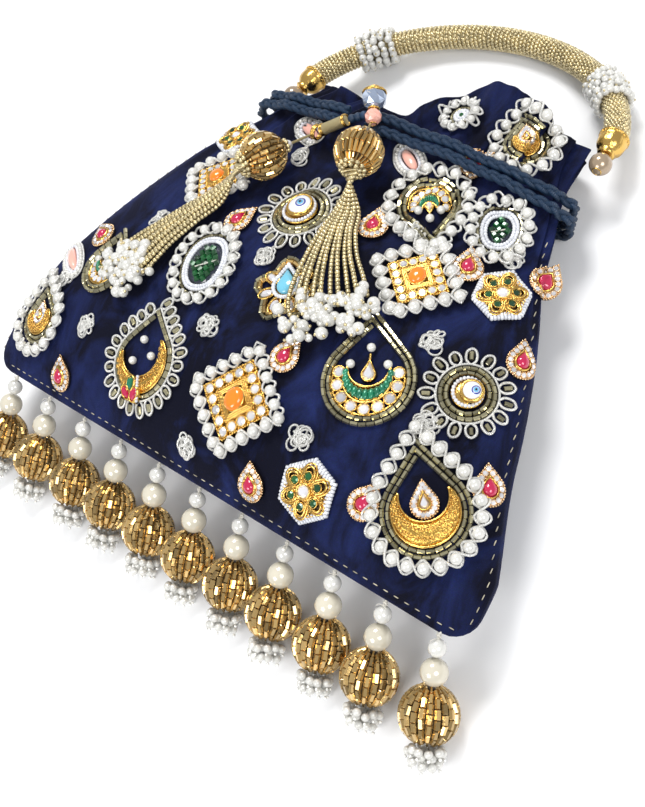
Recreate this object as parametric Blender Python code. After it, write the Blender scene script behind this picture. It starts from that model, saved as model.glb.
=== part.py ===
# Potli bag: a gathered velvet pouch that lies on its back, with drawstrings, an arch handle,
# eleven bead tassels along its bottom seam, and bead and stone motifs sewn on its front.
# Metres, +Z up. The pouch's back lies on z = 0, +Y runs from the bottom seam to the mouth.
import math

import bmesh
import bpy
from mathutils import Matrix, Vector
from mathutils.bvhtree import BVHTree

MM = 0.001
GAP = 0.3 * MM                      # clearance between pieces that touch

# Pouch, with heights measured up the bag from its bottom seam
HEM_Y = -80 * MM                    # the bottom seam's place, the origin is under the belly
NECK_HEIGHT = 150 * MM              # bottom seam to the drawstrings
HALF_WIDTH = 123 * MM
NECK_HALF_WIDTH = 68.5 * MM
FRILL_HALF_WIDTH = 60 * MM
CORNER_RADIUS = 10 * MM
TAPER_START = 22 * MM               # height at which the sides begin to narrow
SIDE_BULGE = 6 * MM                 # the sides stand out between there and the neck
HEM_LEAN = 3 * MM                   # the bottom seam reaches a little further on the left
SIDE_LEAN = 10 * MM                 # and the body lies further to the left
NECK_LEAN = 4.5 * MM
FRILL_LEAN = -1.5 * MM
HEM_SEAM_Z = 25 * MM                # the side seam's height over the table
NECK_SEAM_Z = 21 * MM
HEM_HALF_THICK = 1.2 * MM
BELLY_RISE = 26 * MM                # how far the front stands over the side seam
NECK_RISE = 15 * MM
FRILL_RISE = 11.5 * MM
BELLY_REACH = 60 * MM               # distance from the bottom seam to the full belly
NECK_FLOOR = 7.5 * MM               # the back lifts off the table at the neck
FRILL_FLOOR = 4 * MM
WALL = 1.6 * MM                     # velvet and lining together
FRILL_RIGHT = 34 * MM               # the frill stands tall on the right
FRILL_RIGHT_END = 24 * MM
FRILL_DIP = 9 * MM                  # dips beside the middle
FRILL_LEFT_END = 14 * MM            # and is short on the left
GATHERS = 16
NECK_GATHER = 0.9 * MM
FRILL_GATHER = 2.4 * MM
POINTS_PER_GATHER = 4

# Drawstrings
CORD_RADIUS = 2.1 * MM
CORD_SPACING = 5.0 * MM

# Handle
HANDLE_RADIUS = 5 * MM
HANDLE_RIGHT_HEIGHT = NECK_HEIGHT + 21 * MM      # the side beads' heights up the bag
HANDLE_LEFT_HEIGHT = NECK_HEIGHT + 9 * MM
HANDLE_Z = 19 * MM                  # and over the table
HANDLE_REACH = 53.5 * MM            # side beads to the top of the arch
HANDLE_SWAY = 4 * MM                # the arch lies a little to the right of its ends
HANDLE_TOP_Z = 5.6 * MM             # the arch's top lies on the table
SIDE_BEAD_RADIUS = 4.2 * MM
CAP_LENGTH = 9 * MM
CAP_RADIUS = 5.9 * MM
CAP_NECK_RADIUS = 3.1 * MM
ARCH_CLEARANCE = 1.3 * MM           # cap to arch on the middle line, as the arch leaves it at a slant
COLLAR_RADIUS = 8.8 * MM
COLLAR_LENGTH = 14 * MM
COLLAR_ANGLE = math.radians(41)     # the collars' place round the arch, from its ends
HANDLE_STEPS = 24

# Bottom tassels
TASSEL_INSET = 12.5 * MM            # the end tassels hang this far in from the widest sides
SMALL_PEARL = 3.1 * MM
BIG_PEARL = 4.75 * MM
PEARL_STEP = 8.3 * MM               # small pearl to big pearl, middle to middle
KNOT_RADIUS = 0.9 * MM              # the thread's knot at the hem
KNOT_STEP = 3.9 * MM                # knot to small pearl
BALL_OPENING = 28                   # degrees: the big pearl sits in the ball's open top
BALL_SEAT = 0.95                    # where it rests, as a share of the ball's radius
BALL_RADIUS = 10.3 * MM
BALL_TURN = math.radians(9)
BALL_DIP = 0.36
FRINGE_RADIUS = 6.2 * MM
FRINGE_LENGTH = 9 * MM
BALL_RIBS = 7
TASSEL_LEANS = [-8, -4, 2, 1, 3, 3, 4, 3, 5, 4, 11]   # degrees to the side, as they fell
TASSEL_PITCH = 2 * (HALF_WIDTH - TASSEL_INSET) / (len(TASSEL_LEANS) - 1)

# Drawstring tassels
CORD_BALL_RADIUS = 9.4 * MM
CORD_NECK_RADIUS = 1.0 * MM         # where the ball's neck hangs from its ring or bead
CORD_NECK_WIDE = 2.2 * MM           # and where it meets the ball
CORD_NECK_ROOM = 2 * MM
BALL_END = 25                       # degrees: the ball's flat end, where the strands come out
STRAND_LIFT = 4.4 * MM              # the strands lie over the motifs
STRAND_RADIUS = 3.4 * MM
PEARL_BED_THICK = 5.0 * MM

# Motifs
MOTIF_BORDER_THICK = 1.2 * MM       # the pearl border's height
MOTIF_THICK = 3.2 * MM              # the raised middle's height
MOTIF_LIFT_STEP = 0.2 * MM
MOTIF_BEND = 7 * MM                 # a motif's edge bends back by no more than this


def clamp(value):
    return max(0.0, min(1.0, value))


def smooth(start, end, value):
    share = clamp((value - start) / (end - start))
    return share * share * (3 - 2 * share)


# The pouch's surface

def half_width(height):
    taper = clamp((height - TAPER_START) / (NECK_HEIGHT - TAPER_START))
    width = HALF_WIDTH - (HALF_WIDTH - NECK_HALF_WIDTH) * taper
    below = clamp((CORNER_RADIUS - height) / CORNER_RADIUS)
    width -= CORNER_RADIUS * (1 - math.sqrt(1 - below * below))
    width += SIDE_BULGE * math.sin(math.pi * taper)
    frill = smooth(NECK_HEIGHT, NECK_HEIGHT + FRILL_LEFT_END, height)
    return width + (FRILL_HALF_WIDTH - NECK_HALF_WIDTH) * frill


def centre_x(height):
    lean = HEM_LEAN + (SIDE_LEAN - HEM_LEAN) * smooth(0, BELLY_REACH, height)
    lean -= (SIDE_LEAN - NECK_LEAN) * smooth(NECK_HEIGHT - 33 * MM, NECK_HEIGHT, height)
    lean -= (NECK_LEAN - FRILL_LEAN) * smooth(NECK_HEIGHT, NECK_HEIGHT + FRILL_LEFT_END, height)
    return -lean


def seam_z(height):
    return HEM_SEAM_Z + (NECK_SEAM_Z - HEM_SEAM_Z) * clamp(height / NECK_HEIGHT)


def belly_growth(height):
    left = clamp(1 - height / BELLY_REACH)
    return (1 - left ** 2.2) ** 0.62


def front_rise(height):
    full = BELLY_RISE + (NECK_RISE - BELLY_RISE) * smooth(NECK_HEIGHT - 80 * MM, NECK_HEIGHT, height)
    full += (FRILL_RISE - NECK_RISE) * smooth(NECK_HEIGHT, NECK_HEIGHT + FRILL_RIGHT, height)
    growth = belly_growth(height)
    return full * growth + HEM_HALF_THICK * (1 - growth)


def back_floor(height):
    floor = NECK_FLOOR * smooth(NECK_HEIGHT - 46 * MM, NECK_HEIGHT - 6 * MM, height)
    return floor + (FRILL_FLOOR - NECK_FLOOR) * smooth(NECK_HEIGHT, NECK_HEIGHT + FRILL_LEFT_END, height)


def back_drop(height):
    growth = belly_growth(1.6 * height)
    return (seam_z(height) + 8 * MM) * growth + HEM_HALF_THICK * (1 - growth)


def gather_depth(height):
    neck = NECK_GATHER * smooth(NECK_HEIGHT - 54 * MM, NECK_HEIGHT, height)
    return neck + (FRILL_GATHER - NECK_GATHER) * smooth(NECK_HEIGHT + 4 * MM, NECK_HEIGHT + 20 * MM, height)


def side_fullness(angle):
    """The left side is rounder than the right one."""
    return 1.02 + 0.18 * math.cos(angle)


def section_point(height, angle, outset=0.0):
    """A point of the pouch's outer surface, at an angle round its section."""
    across, up = math.cos(angle), math.sin(angle)
    wave = math.cos(GATHERS * angle) * gather_depth(height)
    x = centre_x(height) + across * (half_width(height) + outset + wave)
    seam = seam_z(height)
    if up >= 0:
        rise = front_rise(height) + outset + wave
        z = seam + rise * up ** side_fullness(angle)
    else:
        floor = back_floor(height)
        lowest = floor - outset if floor > 0 else 0.0
        z = max(lowest, seam - (back_drop(height) + outset) * (-up) ** 0.85)
    return Vector((x, HEM_Y + height, z))


def frill_length(x):
    length = FRILL_LEFT_END + (FRILL_DIP - FRILL_LEFT_END) * smooth(-60 * MM, -15 * MM, x)
    length += (FRILL_RIGHT - FRILL_DIP) * smooth(-12 * MM, 22 * MM, x)
    return length + (FRILL_RIGHT_END - FRILL_RIGHT) * smooth(38 * MM, 62 * MM, x)


def outer_ring(height, frill_share):
    ring = []
    count = GATHERS * POINTS_PER_GATHER
    for step in range(count):
        angle = math.tau * step / count
        x = NECK_HALF_WIDTH * math.cos(angle)
        ring.append(section_point(height + frill_share * frill_length(x), angle))
    return ring


def inner_point(point):
    """The same point moved in by the wall, towards the middle of its section."""
    height = point.y - HEM_Y
    seam = seam_z(height)
    rise = front_rise(height)
    if point.z < seam:
        rise = seam - back_floor(height)
    middle = centre_x(height)
    x = middle + (point.x - middle) * (1 - WALL / half_width(height))
    return Vector((x, point.y, seam + (point.z - seam) * (1 - WALL / rise)))


def loft(rings, name):
    """A closed mesh through rings of points, capped at both ends. A ring of one point is a tip."""
    mesh = bmesh.new()
    rows = [[mesh.verts.new(point) for point in ring] for ring in rings]
    for lower, upper in zip(rows, rows[1:]):
        count = len(upper)
        for step in range(count):
            after = (step + 1) % count
            if len(lower) == 1:
                mesh.faces.new((lower[0], upper[after], upper[step]))
            else:
                mesh.faces.new((lower[step], lower[after], upper[after], upper[step]))
    for end in (rows[0], rows[-1]):
        if len(end) > 1:
            mesh.faces.new(end)
    return finished(mesh, name)


def finished(mesh, name):
    bmesh.ops.recalc_face_normals(mesh, faces=mesh.faces)
    data = bpy.data.meshes.new(name)
    mesh.to_mesh(data)
    mesh.free()
    return data


def turned(profile, steps, name, rib=0.0):
    """A closed mesh turned about Z from (radius, z) points, with ribs down its side."""
    rings = []
    for radius, z in profile:
        ring = []
        for step in range(steps):
            angle = math.tau * step / steps
            reach = radius * (1 - rib * (step % 2))
            ring.append(Vector((reach * math.cos(angle), reach * math.sin(angle), z)))
        rings.append(ring)
    return loft(rings, name)


def sphere_profile(radius, centre, steps, start=12, end=168):
    """Points of a ball's side, from above to below, between two angles from its top."""
    points = []
    for step in range(steps + 1):
        angle = math.radians(start + (end - start) * step / steps)
        points.append((radius * math.sin(angle), centre + radius * math.cos(angle)))
    return points


# Materials and objects

def make_material(name, colour, roughness, metallic=0.0):
    material = bpy.data.materials.new(name)
    material.use_nodes = True
    shader = material.node_tree.nodes['Principled BSDF']
    shader.inputs['Base Color'].default_value = (*colour, 1)
    shader.inputs['Roughness'].default_value = roughness
    shader.inputs['Metallic'].default_value = metallic
    material.diffuse_color = (*colour, 1)
    return material


def place(name, data, material, matrix=None, parent=None):
    """One named object of the bag, with its mesh placed by a world matrix."""
    piece = bpy.data.objects.new(name, data)
    bag.objects.link(piece)
    if not data.materials:
        data.materials.append(material)
    data.shade_smooth()
    data.set_sharp_from_angle(angle=math.radians(35))
    if parent is not None:
        piece.parent = parent
        matrix = parent.matrix_world.inverted() @ (matrix or Matrix())
    piece.matrix_basis = matrix or Matrix()
    return piece


def pivot(name, location):
    """An empty at a joint, which carries the pieces that swing about it."""
    empty = bpy.data.objects.new(name, None)
    empty.empty_display_size = 10 * MM
    empty.location = location
    bag.objects.link(empty)
    bpy.context.view_layer.update()
    return empty


def aimed(location, direction):
    """A matrix that puts a turned piece's -Z along a direction."""
    turn = (-Vector(direction)).to_track_quat('Z', 'Y')
    return Matrix.Translation(location) @ turn.to_matrix().to_4x4()


# The velvet pouch

def make_pouch():
    body = [height * MM for height in (0, 1, 3, 7, 13, 22, 38, 58, 84)]
    body += [NECK_HEIGHT - below * MM for below in (42, 20, 4)]
    rings = [outer_ring(height, 0.0) for height in body]
    shares = [0.12, 0.4, 0.7, 1.0]
    rings += [outer_ring(NECK_HEIGHT, share) for share in shares]
    inner = [outer_ring(NECK_HEIGHT, share) for share in (1.0, 0.3)]
    inner += [outer_ring(height, 0.0) for height in (NECK_HEIGHT - 4 * MM, 36 * MM, 7 * MM)]
    rings += [[inner_point(point) for point in ring] for ring in inner]
    return place('velvet_pouch', loft(rings, 'velvet_pouch'), velvet)


def front_z(x, y):
    """Height of the pouch's front at a place on it."""
    hit = front_tree.ray_cast(Vector((x, y, 0.2)), Vector((0, 0, -1)))
    return hit[0].z if hit[0] else seam_z(y - HEM_Y)


def front_normal(x, y):
    """The front's slope round a place, over a motif's own width."""
    step = 6 * MM
    rise_x = (front_z(x + step, y) - front_z(x - step, y)) / (2 * step)
    rise_y = (front_z(x, y + step) - front_z(x, y - step)) / (2 * step)
    return Vector((-rise_x, -rise_y, 1)).normalized()


# Drawstrings round the neck, in stations of degrees round the pouch's section

DRAWSTRING_STATIONS = [98, 84, 70, 58, 46, 35, 24, 13, 0, -14, -28, -44, -62, -80, -98, -116,
                       -134, -150, -164, -176, -187, -198, -209, -220, -232, -244, -253]


def make_drawstring(name, side):
    curve = bpy.data.curves.new(name, 'CURVE')
    curve.dimensions = '3D'
    curve.bevel_depth = CORD_RADIUS
    curve.bevel_resolution = 2
    curve.use_fill_caps = True
    line = curve.splines.new('POLY')
    line.points.add(len(DRAWSTRING_STATIONS) - 1)
    outset = CORD_RADIUS + NECK_GATHER + 4 * GAP
    for point, station in zip(line.points, DRAWSTRING_STATIONS):
        height = NECK_HEIGHT - 1 * MM + side * CORD_SPACING / 2
        place_at = section_point(height, math.radians(station), outset)
        place_at.z = max(place_at.z, CORD_RADIUS + 2 * GAP)
        point.co = (*place_at, 1)
    curve.materials.append(cord)
    piece = bpy.data.objects.new(name, curve)
    bag.objects.link(piece)
    return piece


# The handle

def side_bead_at(side):
    """The middle of a side bead, which sits against the pouch's edge."""
    height = HANDLE_RIGHT_HEIGHT if side > 0 else HANDLE_LEFT_HEIGHT
    near = [height + share * SIDE_BEAD_RADIUS for share in (-0.8, -0.4, 0, 0.5)]
    edge = max(side * centre_x(at) + half_width(at) + gather_depth(at) for at in near)
    return Vector((side * (edge + SIDE_BEAD_RADIUS + GAP), HEM_Y + height, HANDLE_Z))


def handle_axes():
    """The arch's middle, its axis from left bead to right bead, and the way it points."""
    left, right = side_bead_at(-1), side_bead_at(1)
    axis = (right - left).normalized()
    level = axis.cross(Vector((0, 0, -1))).normalized()
    fall = (HANDLE_Z - HANDLE_TOP_Z) / HANDLE_REACH
    outward = level * math.sqrt(1 - fall * fall) + Vector((0, 0, -fall))
    return (left + right) / 2, axis, outward


def handle_point(angle):
    """A point on the arch's centre line, from the right bead at 0 to the left bead at pi."""
    middle, axis, outward = handle_axes()
    half = (side_bead_at(1) - side_bead_at(-1)).length / 2
    across = half * math.cos(angle) + HANDLE_SWAY * math.sin(angle)
    return middle + axis * across + outward * HANDLE_REACH * math.sin(angle)


def handle_direction(angle):
    step = 0.01
    return (handle_point(angle + step) - handle_point(angle - step)).normalized()


def handle_start():
    """The angle at which the beaded arch comes out of its cap."""
    return math.asin((SIDE_BEAD_RADIUS + GAP + CAP_LENGTH + ARCH_CLEARANCE) / HANDLE_REACH)


def make_handle():
    curve = bpy.data.curves.new('handle_arch', 'CURVE')
    curve.dimensions = '3D'
    curve.bevel_depth = HANDLE_RADIUS
    curve.bevel_resolution = 2
    curve.use_fill_caps = True
    line = curve.splines.new('POLY')
    line.points.add(HANDLE_STEPS)
    start = handle_start()
    for step, point in enumerate(line.points):
        angle = start + (math.pi - 2 * start) * step / HANDLE_STEPS
        point.co = (*handle_point(angle), 1)
    curve.materials.append(beads)
    piece = bpy.data.objects.new('handle_arch', curve)
    bag.objects.link(piece)
    piece.parent = handle_pivot
    piece.matrix_parent_inverse = handle_pivot.matrix_world.inverted()


def make_collar(name, middle):
    """A sleeve of seed pearls that follows the arch, with a lumpy outside."""
    span = COLLAR_LENGTH / (2 * HANDLE_REACH)
    steps = 12
    bore = HANDLE_RADIUS + 2 * GAP
    outline = [(-1, bore), (-1, COLLAR_RADIUS * 0.8), (-0.5, COLLAR_RADIUS), (0.0, COLLAR_RADIUS * 0.95),
               (0.5, COLLAR_RADIUS), (1, COLLAR_RADIUS * 0.8), (1, bore), (0.33, bore), (-0.33, bore)]
    mesh = bmesh.new()
    rows = []
    for share, radius in outline:
        angle = middle + share * span
        axis = handle_direction(angle)
        side = axis.cross(Vector((0, 0, 1))).normalized()
        up = side.cross(axis)
        row = []
        for step in range(steps):
            turn = math.tau * step / steps
            lump = 1.0 if radius == bore else 1 - 0.07 * (step % 2)
            point = handle_point(angle) + (side * math.cos(turn) + up * math.sin(turn)) * radius * lump
            row.append(mesh.verts.new(point))
        rows.append(row)
    for row, following in zip(rows, rows[1:] + rows[:1]):
        for step in range(steps):
            after = (step + 1) % steps
            mesh.faces.new((row[step], row[after], following[after], following[step]))
    return place(name, finished(mesh, name), pearl, parent=handle_pivot)


def make_handle_ends():
    start = SIDE_BEAD_RADIUS + GAP
    cap_profile = [(CAP_NECK_RADIUS, -start), (CAP_NECK_RADIUS + 0.6 * MM, -start - 1 * MM),
                   (CAP_RADIUS, -start - 6 * MM), (CAP_RADIUS, -start - CAP_LENGTH)]
    cap = turned(cap_profile, 12, 'handle_cap', rib=0.1)
    bead = turned(sphere_profile(SIDE_BEAD_RADIUS, 0, 5), 8, 'side_bead')
    start_angle = handle_start()
    for side, sign, angle in (('right', 1, start_angle), ('left', -1, math.pi - start_angle)):
        bead_at = side_bead_at(sign)
        place('handle_cap_' + side, cap, gold, aimed(bead_at, handle_point(angle) - bead_at), handle_pivot)
        place('side_bead_' + side, bead, bronze, Matrix.Translation(bead_at))


# Bottom tassels

def make_tassels():
    """Each tassel swings at its thread's knot, and its ball lies on the table."""
    profile = [(KNOT_RADIUS, KNOT_STEP + KNOT_RADIUS / 2)] + sphere_profile(SMALL_PEARL, 0, 3, 26, 150)
    profile += sphere_profile(BIG_PEARL, -PEARL_STEP, 4, 24, 160)
    pearls = turned(profile, 7, 'tassel_pearls')
    ball_profile = sphere_profile(BALL_RADIUS, 0, 4, BALL_OPENING, 146)
    below = -BALL_RADIUS * math.cos(math.radians(34))
    ball_profile += [(FRINGE_RADIUS, below - 2 * MM), (FRINGE_RADIUS * 0.93, below - FRINGE_LENGTH * 0.6),
                     (FRINGE_RADIUS * 0.6, below - FRINGE_LENGTH)]
    ball = turned(ball_profile, 2 * BALL_RIBS, 'tassel_ball', rib=0.07)
    pearl_to_ball = BIG_PEARL + GAP + BALL_RADIUS * BALL_SEAT
    thread = KNOT_STEP + PEARL_STEP + pearl_to_ball
    drop_to_table = HEM_SEAM_Z - BALL_RADIUS - GAP
    out = Vector((0, -math.sqrt(thread ** 2 - drop_to_table ** 2), -drop_to_table)) / thread
    for number, lean_degrees in enumerate(TASSEL_LEANS):
        x = (number - (len(TASSEL_LEANS) - 1) / 2) * TASSEL_PITCH
        label = 'tassel_{:02d}'.format(number + 1)
        lean = Matrix.Rotation(math.radians(lean_degrees), 3, 'Z')
        knot_at = Vector((x, HEM_Y + hem_setback(x) - KNOT_RADIUS - GAP, HEM_SEAM_Z))
        joint = pivot(label + '_pivot', knot_at)
        ball_direction = lean @ Vector((math.sin(BALL_TURN), -math.cos(BALL_TURN), -BALL_DIP))
        pearls_at = aimed(knot_at + lean @ out * KNOT_STEP, lean @ out)
        place(label + '_pearls', pearls, pearl, pearls_at, joint)
        place(label + '_ball', ball, beads, aimed(knot_at + lean @ out * thread, ball_direction), joint)


def hem_setback(x):
    """How far the bottom seam stands back where it rounds into a side seam."""
    past = abs(x + HEM_LEAN) - (HALF_WIDTH - CORNER_RADIUS)
    return CORNER_RADIUS - math.sqrt(CORNER_RADIUS ** 2 - past ** 2) if past > 0 else 0.0


# Centre of the neck: ferrule, ring and the two beads on the cords

NECK_MIDDLE = Vector((0, HEM_Y + NECK_HEIGHT, 0))
PEACH_AT = NECK_MIDDLE + Vector((-9.8, -0.6, 44.7)) * MM
CRYSTAL_WAY = Vector((-4.3, 7.7, 0.8)).normalized()
FERRULE_START = NECK_MIDDLE + Vector((-20.5, -5.0, 44.2)) * MM
FERRULE_END = NECK_MIDDLE + Vector((-30.5, -10.4, 41.0)) * MM
CRYSTAL_RADIUS = 4.8 * MM
PEACH_RADIUS = 3.3 * MM
BEAD_HOLE = 22                      # degrees: the beads' flat ends round their holes
FERRULE_RADIUS = 2.3 * MM
RING_RADIUS = 2.6 * MM
RING_THICK = 0.8 * MM
RING_STEP = 2.7 * MM                # from the ferrule's end to the middle of the ring beside it
RING_AT = FERRULE_END + (FERRULE_END - FERRULE_START).normalized() * RING_STEP
SWING_AXIS = Vector((-1, 0, 0))     # both tassels swing up about the neck's own direction
LEFT_BALL_AT = NECK_MIDDLE + Vector((-40.6, -31.8, 49.8)) * MM
RIGHT_BALL_AT = NECK_MIDDLE + Vector((-3.2, -17.2, 48.8)) * MM


def make_centre():
    ends = (BEAD_HOLE, 180 - BEAD_HOLE)
    crystal_mesh = turned(sphere_profile(CRYSTAL_RADIUS, 0, 4, *ends), 8, 'crystal_bead')
    peach_mesh = turned(sphere_profile(PEACH_RADIUS, 0, 4, *ends), 8, 'peach_bead')
    step = (CRYSTAL_RADIUS + PEACH_RADIUS) * math.cos(math.radians(BEAD_HOLE)) + GAP
    place('crystal_bead', crystal_mesh, crystal, aimed(PEACH_AT + CRYSTAL_WAY * step, -CRYSTAL_WAY))
    place('peach_bead', peach_mesh, peach, aimed(PEACH_AT, CRYSTAL_WAY))
    length = (FERRULE_END - FERRULE_START).length
    ferrule_profile = [(FERRULE_RADIUS * 0.8, 0), (FERRULE_RADIUS, -1 * MM), (FERRULE_RADIUS, 1 * MM - length),
                       (FERRULE_RADIUS * 0.8, -length)]
    ferrule = turned(ferrule_profile, 10, 'gold_ferrule')
    place('gold_ferrule', ferrule, gold, aimed(FERRULE_START, FERRULE_END - FERRULE_START))
    bpy.ops.mesh.primitive_torus_add(major_radius=RING_RADIUS, minor_radius=RING_THICK,
                                     major_segments=10, minor_segments=5)
    torus = bpy.context.object
    ring_mesh = torus.data
    bpy.data.objects.remove(torus)
    place('gold_ring', ring_mesh, gold, aimed(RING_AT, SWING_AXIS))


# Drawstring tassels: a bead ball, and strands that fan out over the front to a bed of pearls

def make_strands(name, start, route, spreads, joint):
    """From the ball's end at start, over route points on the front, with half widths."""
    points = [start] + [NECK_MIDDLE + Vector((x, y, 0)) * MM for x, y in route]
    rings = []
    sides = 12
    for number, point in enumerate(points):
        before = points[max(0, number - 1)]
        after = points[min(len(points) - 1, number + 1)]
        along = Vector((after.x - before.x, after.y - before.y, 0)).normalized()
        side = along.cross(Vector((0, 0, 1)))
        pearls_here = number >= len(points) - 3
        thick = PEARL_BED_THICK if pearls_here else STRAND_RADIUS
        lumps = 0.12 if pearls_here else 0.07
        ring = []
        for step in range(sides):
            turn = math.tau * step / sides
            at = point + side * spreads[number] * MM * math.cos(turn)
            middle = point.z or front_z(at.x, at.y) + STRAND_LIFT + thick / 2
            at.z = middle + thick / 2 * math.sin(turn) * (1 - lumps * (step % 2))
            ring.append(at)
        rings.append(ring)
    return place(name, loft(rings, name), beads, parent=joint)


def make_cord_tassel(side, joint_at, reach, ball_at, route, spreads):
    """A tassel that swings at joint_at, with its ball's neck ending at a distance from there."""
    away = (ball_at - joint_at).normalized()
    neck_end = (ball_at - joint_at).length - reach - GAP
    profile = [(CORD_NECK_RADIUS, neck_end), (CORD_NECK_WIDE, CORD_BALL_RADIUS + CORD_NECK_ROOM)]
    profile += sphere_profile(CORD_BALL_RADIUS, 0, 5, 20, 180 - BALL_END)
    name = 'cord_tassel_' + side
    joint = pivot(name + '_pivot', joint_at)
    place(name + '_ball', turned(profile, 14, name, rib=0.06), beads, aimed(ball_at, away), joint)
    start = ball_at + away * (CORD_BALL_RADIUS * math.cos(math.radians(BALL_END)) + 4 * GAP)
    make_strands(name + '_strands', start, route, spreads, joint)


def make_cord_tassels():
    make_cord_tassel('left', RING_AT, RING_RADIUS + RING_THICK, LEFT_BALL_AT,
                     [(-50.5, -52), (-55.5, -64), (-60.5, -75), (-64, -83), (-67, -90), (-69, -97)],
                     [3.2, 4.4, 6, 7.5, 9.5, 10.5, 8])
    make_cord_tassel('right', PEACH_AT, PEACH_RADIUS, RIGHT_BALL_AT,
                     [(4, -38), (8, -48), (13, -58), (19, -68), (24, -75), (28, -81)],
                     [3.2, 4.6, 7, 10, 14, 15, 11])


# Motifs: outlines by formula, as a share of the motif's size at each angle from its tip

def diamond(angle):
    return 0.92 / (abs(math.cos(angle)) + abs(math.sin(angle))) + 0.08


def drop(angle):
    tip = clamp(math.cos(angle)) ** 5
    return 0.82 + 0.26 * tip


def eye(angle):
    return 0.92 + 0.08 * math.cos(8 * angle)


def flower(angle):
    return 0.90 + 0.10 * math.cos(6 * angle)


def leaf(angle):
    return 0.70 + 0.30 * abs(math.cos(angle)) ** 1.6


MOTIF_POINTS = {diamond: 12, drop: 16, eye: 16, flower: 18, leaf: 14}
NECK_Y = NECK_MIDDLE.y / MM         # the frill's motifs keep their place over the drawstrings
MOTIFS = [
    # name, outline, place on the front, half size, turn of the tip from +Y, stone
    ('diamond_lower', diamond, (10, -48), 20, 4, 'amber'),
    ('diamond_upper', diamond, (43, 19), 17, 2, 'amber'),
    ('diamond_left', diamond, (-62, 26), 16, 0, 'amber'),
    ('crescent_gold', drop, (90, -50), 22, 38, 'gold'),
    ('crescent_green', drop, (50, -21), 21, 26, 'gold'),
    ('crescent_ruby', drop, (-38, -52), 21, 12, 'gold'),
    ('crescent_neck', drop, (27, 48), 17, -145, 'gold'),
    ('crescent_side', drop, (-84, -26), 15, 10, 'gold'),
    ('crescent_edge', drop, (-104, -56), 15, 20, 'gold'),
    ('eye_upper', eye, (-15, 25), 18, 0, 'white'),
    ('eye_side', eye, (80, -9), 16, 0, 'white'),
    ('flower_lower', flower, (50, -63), 11, 8, 'gold'),
    ('flower_side', flower, (69, 28), 10, 8, 'gold'),
    ('flower_left', flower, (-74, 48), 9, 8, 'gold'),
    ('leaf_side', leaf, (54, 50), 13.5, 20, 'green'),
    ('leaf_middle', leaf, (-36, -9), 17, 20, 'green'),
    ('leaf_frill', leaf, (16, NECK_Y + 16), 9, 60, 'green'),
    ('drop_frill', drop, (44.5, NECK_Y + 15), 11, 30, 'gold'),
]


def on_front(flat, normal, height):
    """A point over the front, found along the motif's own normal."""
    hit = front_tree.ray_cast(flat + normal * 40 * MM, -normal)
    depth = (flat - hit[0]).dot(normal) if hit[0] else MOTIF_BEND
    return flat + normal * (height - min(depth, MOTIF_BEND))


def motif_rings(outline, centre, size, turn, lift):
    """Rings of a low dome that follows the front: back, border, step and raised middle."""
    x, y = centre
    normal = front_normal(x, y)
    side = Vector((0, 1, 0)).cross(normal).normalized()
    up = normal.cross(side)
    origin = Vector((x, y, front_z(x, y)))
    levels = [(1.0, 0), (1.0, MOTIF_BORDER_THICK), (0.62, MOTIF_BORDER_THICK * 1.2), (0.45, MOTIF_THICK)]
    points = MOTIF_POINTS[outline]
    rings = [[origin + normal * lift]]
    for share, level in levels:
        ring = []
        for step in range(points):
            angle = math.tau * step / points
            reach = size * share * outline(angle)
            flat = origin + (up * math.cos(angle + turn) - side * math.sin(angle + turn)) * reach
            ring.append(on_front(flat, normal, lift + level))
        rings.append(ring)
    return rings


def make_motifs():
    """Each motif is stiff, so it is raised until it clears the front that it is sewn to."""
    stones = {'amber': amber, 'gold': gold, 'white': white, 'green': green}
    for name, outline, (x, y), size, turn, stone in MOTIFS:
        lift = GAP
        meets = True
        while meets:
            rings = motif_rings(outline, (x * MM, y * MM), size * MM, math.radians(turn), lift)
            data = loft(rings, name)
            meets = front_tree.overlap(mesh_tree(data))
            lift += MOTIF_LIFT_STEP
        place('motif_' + name, data, stones[stone])


def mesh_tree(data):
    return BVHTree.FromPolygons([vertex.co for vertex in data.vertices],
                                [polygon.vertices for polygon in data.polygons])


for leftover in list(bpy.data.objects):
    bpy.data.objects.remove(leftover)

bag = bpy.data.collections.new('potli_bag')
bpy.context.scene.collection.children.link(bag)
velvet = make_material('velvet', (0.010, 0.014, 0.075), 0.85)
cord = make_material('cord', (0.012, 0.040, 0.120), 0.7)
beads = make_material('gold_beads', (0.55, 0.40, 0.16), 0.25, 0.8)
gold = make_material('gold', (0.60, 0.38, 0.10), 0.25, 1.0)
pearl = make_material('pearl', (0.78, 0.74, 0.66), 0.2)
bronze = make_material('bronze_pearl', (0.30, 0.22, 0.14), 0.25)
crystal = make_material('crystal', (0.85, 0.88, 0.92), 0.05)
peach = make_material('peach', (0.75, 0.55, 0.45), 0.1)
amber = make_material('amber', (0.95, 0.28, 0.01), 0.2)
white = make_material('mother_of_pearl', (0.85, 0.85, 0.83), 0.25)
green = make_material('green_stone', (0.01, 0.16, 0.08), 0.2)

pouch = make_pouch()
bpy.context.view_layer.update()
front_tree = BVHTree.FromObject(pouch, bpy.context.evaluated_depsgraph_get())
handle_pivot = pivot('handle_pivot', handle_axes()[0])
make_drawstring('drawstring_lower', -1)
make_drawstring('drawstring_upper', 1)
make_handle()
make_collar('pearl_collar_right', COLLAR_ANGLE)
make_collar('pearl_collar_left', math.pi - COLLAR_ANGLE)
make_handle_ends()
make_tassels()
make_centre()
make_cord_tassels()
make_motifs()
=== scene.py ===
# Looks of the potli bag: navy velvet, braided drawstrings, bead tassels and sewn motifs, built
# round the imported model. Sizes below are in millimetres unless a name says otherwise.
import math
import random

import bmesh
import bpy
from mathutils import Matrix, Vector, noise
from mathutils.bvhtree import BVHTree


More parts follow.
